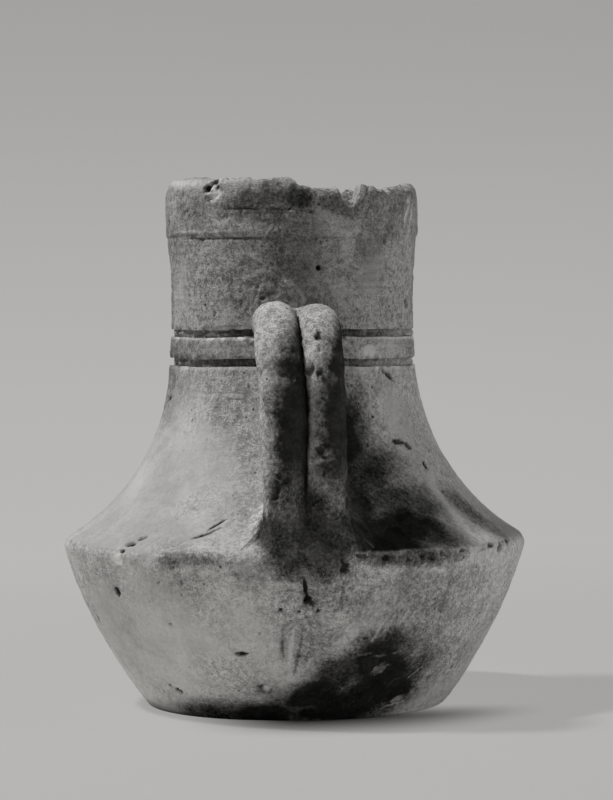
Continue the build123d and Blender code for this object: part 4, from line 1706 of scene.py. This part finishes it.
@dataclass(frozen=True)
class ClayFinish:
    """Dull fired clay of one member, from its darker to its paler grey."""

    name: str
    dark: float
    pale: float
    cloud: float = 0.4  # how much large clouds, small patches, grain and turned lines change the tone
    patch: float = 0.5
    grain: float = 3.8
    turning: float = 0.12
    least_open: float = 0.12  # grain that even the smoothest skin has
    strokes: float = 0.0
    strokes_lost: float = 0.65  # where soot and painted shade darken the clay
    grit: float = 0.45
    dust_and_highlight_grey: float = 0.56
    soot_and_shade_grey: float = 0.008
    soot_range: float = 2.4
    dirt_and_shade: float = 0.05
    dirt_share: float = 0.8
    gloss: float = 0.25
    soot_gloss: float = 0.03
    roughness: float = 0.9
    bump: float = 0.9
    bump_depth: float = 0.8 * MM

    def material(self, effects: ClayEffects) -> Material:
        """Build the finish.

        Args:
            effects: The shared node groups.

        Returns:
            The material.
        """
        material, wiring = blank(self.name)
        place = wiring.add("ShaderNodeTexCoord", {}).outputs["Object"]
        worn = {
            name: wiring.add("ShaderNodeAttribute", {}, attribute_name=name).outputs["Fac"]
            for name in WORN_AND_PAINTED
        }
        mottle = wiring.use(effects.mottle, {"Vector": place})
        lines = wiring.use(effects.turning, {"Vector": place}).outputs["Lines"]
        height = wiring.use(effects.grain, {"Vector": place}).outputs["Height"]
        opened = wiring.math("ADD", worn["rough"], self.least_open)
        tone = self._swing(wiring, mottle.outputs["Cloud"], self.cloud, 0.5)
        small = self._swing(wiring, mottle.outputs["Patch"], self.patch, 0.0)
        tone = wiring.math("ADD", tone, wiring.math("MULTIPLY", small, opened))
        tone = wiring.math("ADD", tone, self._swing(wiring, lines, self.turning, 0.0))
        grain = wiring.math("MULTIPLY", height, opened)
        tone = wiring.math("ADD", tone, wiring.math("MULTIPLY", grain, self.grain), clamp=True)
        colour = wiring.tint(tone, grey(self.dark), grey(self.pale))
        specks = wiring.use(effects.specks, {"Vector": place})
        grit = wiring.math("MULTIPLY", specks.outputs["Grit"], self.grit)
        colour = wiring.tint(grit, colour, grey(self.dust_and_highlight_grey))
        holes = wiring.math("MULTIPLY", specks.outputs["Pinholes"], wiring.math("ADD", worn["rough"], 0.15))
        colour = wiring.tint(holes, colour, grey(self.dirt_and_shade))
        # Pale wear and painted highlights, from the pale tones.
        dust_and_highlight_share = wiring.use(effects.breakup, {"Vector": place, "Share": worn["pale"]}).outputs["Mask"]
        colour = wiring.tint(dust_and_highlight_share, colour, grey(self.dust_and_highlight_grey))
        # Soot, stains and painted shade, from the dark tones.
        soot_and_shade_share = wiring.use(effects.breakup, {"Vector": place, "Share": worn["dark"]}).outputs["Mask"]
        soot_and_shade_grey = wiring.tint(mottle.outputs["Patch"], grey(self.soot_and_shade_grey), grey(self.soot_range * self.soot_and_shade_grey))
        colour = wiring.tint(soot_and_shade_share, colour, soot_and_shade_grey)
        if self.strokes:
            strokes = wiring.use(effects.strokes, {"Vector": place}).outputs["Mask"]
            lost = wiring.math("MULTIPLY", soot_and_shade_share, self.strokes_lost)
            strokes = wiring.math("SUBTRACT", strokes, lost, clamp=True)
            colour = wiring.tint(wiring.math("MULTIPLY", strokes, self.strokes), colour, grey(self.dust_and_highlight_grey))
        filled = wiring.math("MULTIPLY", worn["hollow"], self.dirt_share)
        colour = wiring.tint(filled, colour, grey(self.dirt_and_shade))
        shine = wiring.scaled(mottle.outputs["Patch"], -0.08, self.roughness)
        sunk = wiring.math("SUBTRACT", grain, wiring.math("MULTIPLY", holes, 0.7))
        depths = {"Height": sunk, "Strength": self.bump, "Distance": self.bump_depth}
        bump = wiring.add("ShaderNodeBump", depths)
        glosses = {"Value": soot_and_shade_share, "To Min": self.gloss, "To Max": self.soot_gloss}
        gloss = wiring.add("ShaderNodeMapRange", glosses).outputs[0]
        inputs = {"Base Color": colour, "Roughness": shine, "Normal": bump.outputs["Normal"]}
        inputs["Specular IOR Level"] = gloss
        shader = wiring.add("ShaderNodeBsdfPrincipled", inputs)
        wiring.add("ShaderNodeOutputMaterial", {"Surface": shader.outputs["BSDF"]})
        return material

    @staticmethod
    def _swing(wiring: Wiring, value: Socket, strength: float, rest: float) -> Socket:
        """Value from 0 to 1 made to swing round a rest value with a strength."""
        return wiring.scaled(value, strength, rest - strength / 2)


@dataclass(frozen=True)
class Lamp:
    """Square soft lamp aimed at the jar; angles in degrees, azimuth from the handle towards +X."""

    name: str
    azimuth: float
    elevation: float
    distance: float
    size: float
    power: float

    def hang(self, aim: Vector) -> None:
        """Put the lamp in its place."""
        turn, rise = math.radians(self.azimuth), math.radians(self.elevation)
        way = Vector((math.sin(turn) * math.cos(rise), -math.cos(turn) * math.cos(rise), math.sin(rise)))
        clear_bench()
        bpy.ops.object.light_add(type="AREA", location=aim + way * self.distance)
        lamp = bpy.context.object
        lamp.name = self.name
        lamp.rotation_euler = way.to_track_quat("Z", "Y").to_euler()
        lamp.data.size = self.size
        lamp.data.energy = self.power


@dataclass
class Studio:
    """Pale paper sweep, soft lamps and the camera."""

    depth: float = 7.0
    wall: float = 3.2
    back: float = 2.6
    bend: float = 1.3
    bend_segments: int = 32
    floor_drop: float = 0.1 * MM
    near_by: float = 0.01  # edges that close to the back's foot are the back's
    paper: float = 0.82
    paper_far: float = 0.3
    paper_turn: tuple[float, float] = (0.45, 1.2)  # from the jar, where it turns dark
    paper_grain: float = 0.35
    paper_seen: float = 0.11
    floor_glow: float = 0.34
    wall_glow: float = 0.40
    top_glow: float = 0.29
    glow_near: float = 0.2
    glow_rise: tuple[float, float] = (-0.05, 0.8)
    # The painted shadow on the floor by the jar's foot: reach of the occlusion, its grey, and where it sets in.
    shade_reach: float = 0.06
    shade: float = 0.01
    shade_front: tuple[float, float] = (-0.02, -0.075)  # where it sets in, along Y and X
    shade_left: tuple[float, float] = (-0.075, 0.0)
    ambient: float = 0.025
    aim_height: float = 0.15
    eye_distance: float = 1.734
    eye_azimuth: float = math.radians(-3.3)
    eye_height: float = 0.2295
    focal: float = 135.0
    film: float = 36.0
    farthest: float = 50.0
    focal_pixels: float = 3000.0
    shift_right: float = 13.3  # pixels by which the view turns past the jar's axis
    shift_down: float = 95.0
    roll: float = math.radians(0.57)

    def build(self) -> None:
        """Set up the sweep, the lamps, the surroundings and the camera."""
        self.sweep()
        aim = Vector((0, 0, self.aim_height))
        Lamp("key_lamp", azimuth=-85, elevation=60, distance=2.4, size=0.22, power=64.0).hang(aim)
        Lamp("fill_lamp", azimuth=78, elevation=12, distance=2.4, size=2.2, power=32.0).hang(aim)
        self.surroundings()
        self.camera()

    def sweep(self) -> None:
        """Floor that bends up into a backdrop."""
        clear_bench()
        middle = self.back - self.depth / 2
        bpy.ops.mesh.primitive_plane_add(size=self.depth, location=(0, middle, -self.floor_drop))
        paper = take("paper_sweep")
        self.take_back_edges(paper, self.wall)
        bpy.ops.mesh.extrude_region_move(TRANSFORM_OT_translate={"value": (0, 0, self.wall)})
        self.take_back_edges(paper, self.near_by)
        bpy.ops.mesh.bevel(offset=self.bend, segments=self.bend_segments, affect="EDGES")
        bpy.ops.mesh.select_mode(type="VERT")
        close_up()
        smooth(paper)
        paper.data.materials.append(self.paper_finish())

    def take_back_edges(self, paper: Piece, below: float) -> None:
        """Select the edges along the back of the sweep that lie below a height."""
        bpy.ops.mesh.select_all(action="DESELECT")
        bpy.ops.object.mode_set(mode="OBJECT")
        for edge in paper.data.edges:
            ends = [paper.data.vertices[i].co for i in edge.vertices]
            edge.select = all(end.y > self.back - self.near_by and end.z < below for end in ends)
        bpy.ops.object.mode_set(mode="EDIT")
        bpy.ops.mesh.select_mode(type="EDGE")

    def paper_finish(self) -> Material:
        """Pale paper that throws light back at the jar, and shows the camera mostly a grey glow of its own,
        with a painted shadow on the floor in front of the jar.
        """
        material, wiring = blank("studio_paper")
        place = wiring.add("ShaderNodeTexCoord", {}).outputs["Object"]
        tone = wiring.noise(place, self.paper_grain, 3)
        seen = wiring.tint(tone, grey(self.paper_seen * 0.96), grey(self.paper_seen * 1.04))
        dull = {"Roughness": 0.95, "Specular IOR Level": 0.1}
        away = wiring.add("ShaderNodeVectorMath", {0: place}, operation="LENGTH").outputs["Value"]
        thrown = wiring.tint(wiring.spread(away, *self.paper_turn), grey(self.paper), grey(self.paper_far))
        thrown = wiring.add("ShaderNodeBsdfPrincipled", {"Base Color": thrown, **dull})
        shown = wiring.add("ShaderNodeBsdfPrincipled", {"Base Color": seen, **dull})
        along = wiring.add("ShaderNodeSeparateXYZ", {"Vector": place}).outputs
        far = wiring.spread(along["Y"], self.glow_near, self.back - self.bend)
        high = wiring.spread(along["Z"], *self.glow_rise)
        glow = wiring.tint(far, grey(self.floor_glow), grey(self.wall_glow))
        glow = wiring.tint(high, glow, grey(self.top_glow))
        # Painted shadow on the floor round the jar's foot, in front of it and away from the key lamp's side.
        nearby = wiring.add("ShaderNodeAmbientOcclusion", {"Distance": self.shade_reach}, samples=16)
        shut = wiring.math("SUBTRACT", 1.0, wiring.spread(nearby.outputs["AO"], 0.2, 0.95))
        before = wiring.spread(along["Y"], *self.shade_front)
        beside = wiring.spread(along["X"], *self.shade_left)
        shut = wiring.math("MULTIPLY", shut, wiring.math("MULTIPLY", beside, before))
        glow = wiring.tint(shut, glow, grey(self.shade))
        lit = wiring.add("ShaderNodeEmission", {"Color": glow})
        both = wiring.add("ShaderNodeAddShader", {0: shown.outputs[0], 1: lit.outputs[0]})
        camera = wiring.add("ShaderNodeLightPath", {}).outputs["Is Camera Ray"]
        choice = wiring.add("ShaderNodeMixShader", {0: camera, 1: thrown.outputs[0], 2: both.outputs[0]})
        wiring.add("ShaderNodeOutputMaterial", {"Surface": choice.outputs[0]})
        return material

    def surroundings(self) -> None:
        """Faint even light from all sides, behind which the camera sees a pale room."""
        world = bpy.data.worlds.new("studio")
        bpy.context.scene.world = world
        world.use_nodes = True
        wiring = Wiring(world.node_tree)
        camera = wiring.add("ShaderNodeLightPath", {}).outputs["Is Camera Ray"]
        tone = wiring.tint(camera, grey(self.ambient), grey(self.wall_glow))
        world.node_tree.links.new(tone, world.node_tree.nodes["Background"].inputs["Color"])

    @staticmethod
    def turned(first: Vector, second: Vector, angle: float) -> tuple[Vector, Vector]:
        """Two directions at right angles, turned from the first towards the second."""
        cosine, sine = math.cos(angle), math.sin(angle)
        return first * cosine + second * sine, second * cosine - first * sine

    def camera(self) -> None:
        """Long lens a little above the shoulder, in front of the handle."""
        away = Vector((math.sin(self.eye_azimuth), -math.cos(self.eye_azimuth), 0))
        eye = away * self.eye_distance + Vector((0, 0, self.eye_height))
        ahead, up = -away, Vector((0, 0, 1))
        right = ahead.cross(up)
        ahead, right = self.turned(ahead, right, math.atan(self.shift_right / self.focal_pixels))
        up, ahead = self.turned(up, ahead, math.atan(self.shift_down / self.focal_pixels))
        up, right = self.turned(up, right, self.roll)
        clear_bench()
        bpy.ops.object.camera_add()
        camera = bpy.context.object
        camera.name = "photo_camera"
        camera.data.sensor_fit = "VERTICAL"
        camera.data.sensor_height = self.film
        camera.data.lens = self.focal
        camera.data.clip_end = self.farthest
        camera.matrix_world = Matrix.Translation(eye) @ Matrix((right, up, -ahead)).transposed().to_4x4()
        bpy.context.scene.camera = camera


def write_size() -> None:
    """Bring the scene's positions up to date."""
    bpy.context.view_layer.update()


def main() -> None:
    """Build the jar's members in order, then the studio."""
    logging.basicConfig(level=logging.INFO, format="%(name)s: %(message)s")
    jar = JarForm.from_frame()
    handle = HandleForm(jar)
    clay = Clay(jar, handle, WeatheringAndPaintedLight(jar, handle))
    effects = ClayEffects()
    bowl = ClayFinish("bowl_clay_finish", dark=0.26, pale=0.58, turning=0.05, strokes=0.55)
    shoulder = ClayFinish("shoulder_clay_finish", dark=0.25, pale=0.5, turning=0.06, strokes=0.2)
    neck = ClayFinish("neck_clay_finish", dark=0.15, pale=0.4, turning=0.3)
    rolls = ClayFinish("handle_clay_finish", dark=0.26, pale=0.58, turning=0.0, strokes=0.3, soot_and_shade_grey=0.013)
    Body(jar, clay).build(bowl.material(effects), shoulder.material(effects))
    Neck(jar, clay).build(neck.material(effects))
    Handle(handle, clay).build(rolls.material(effects))
    Studio().build()
    bpy.context.scene.view_settings.view_transform = "Standard"
    clear_bench()
    write_size()


if __name__ == "__main__":
    main()
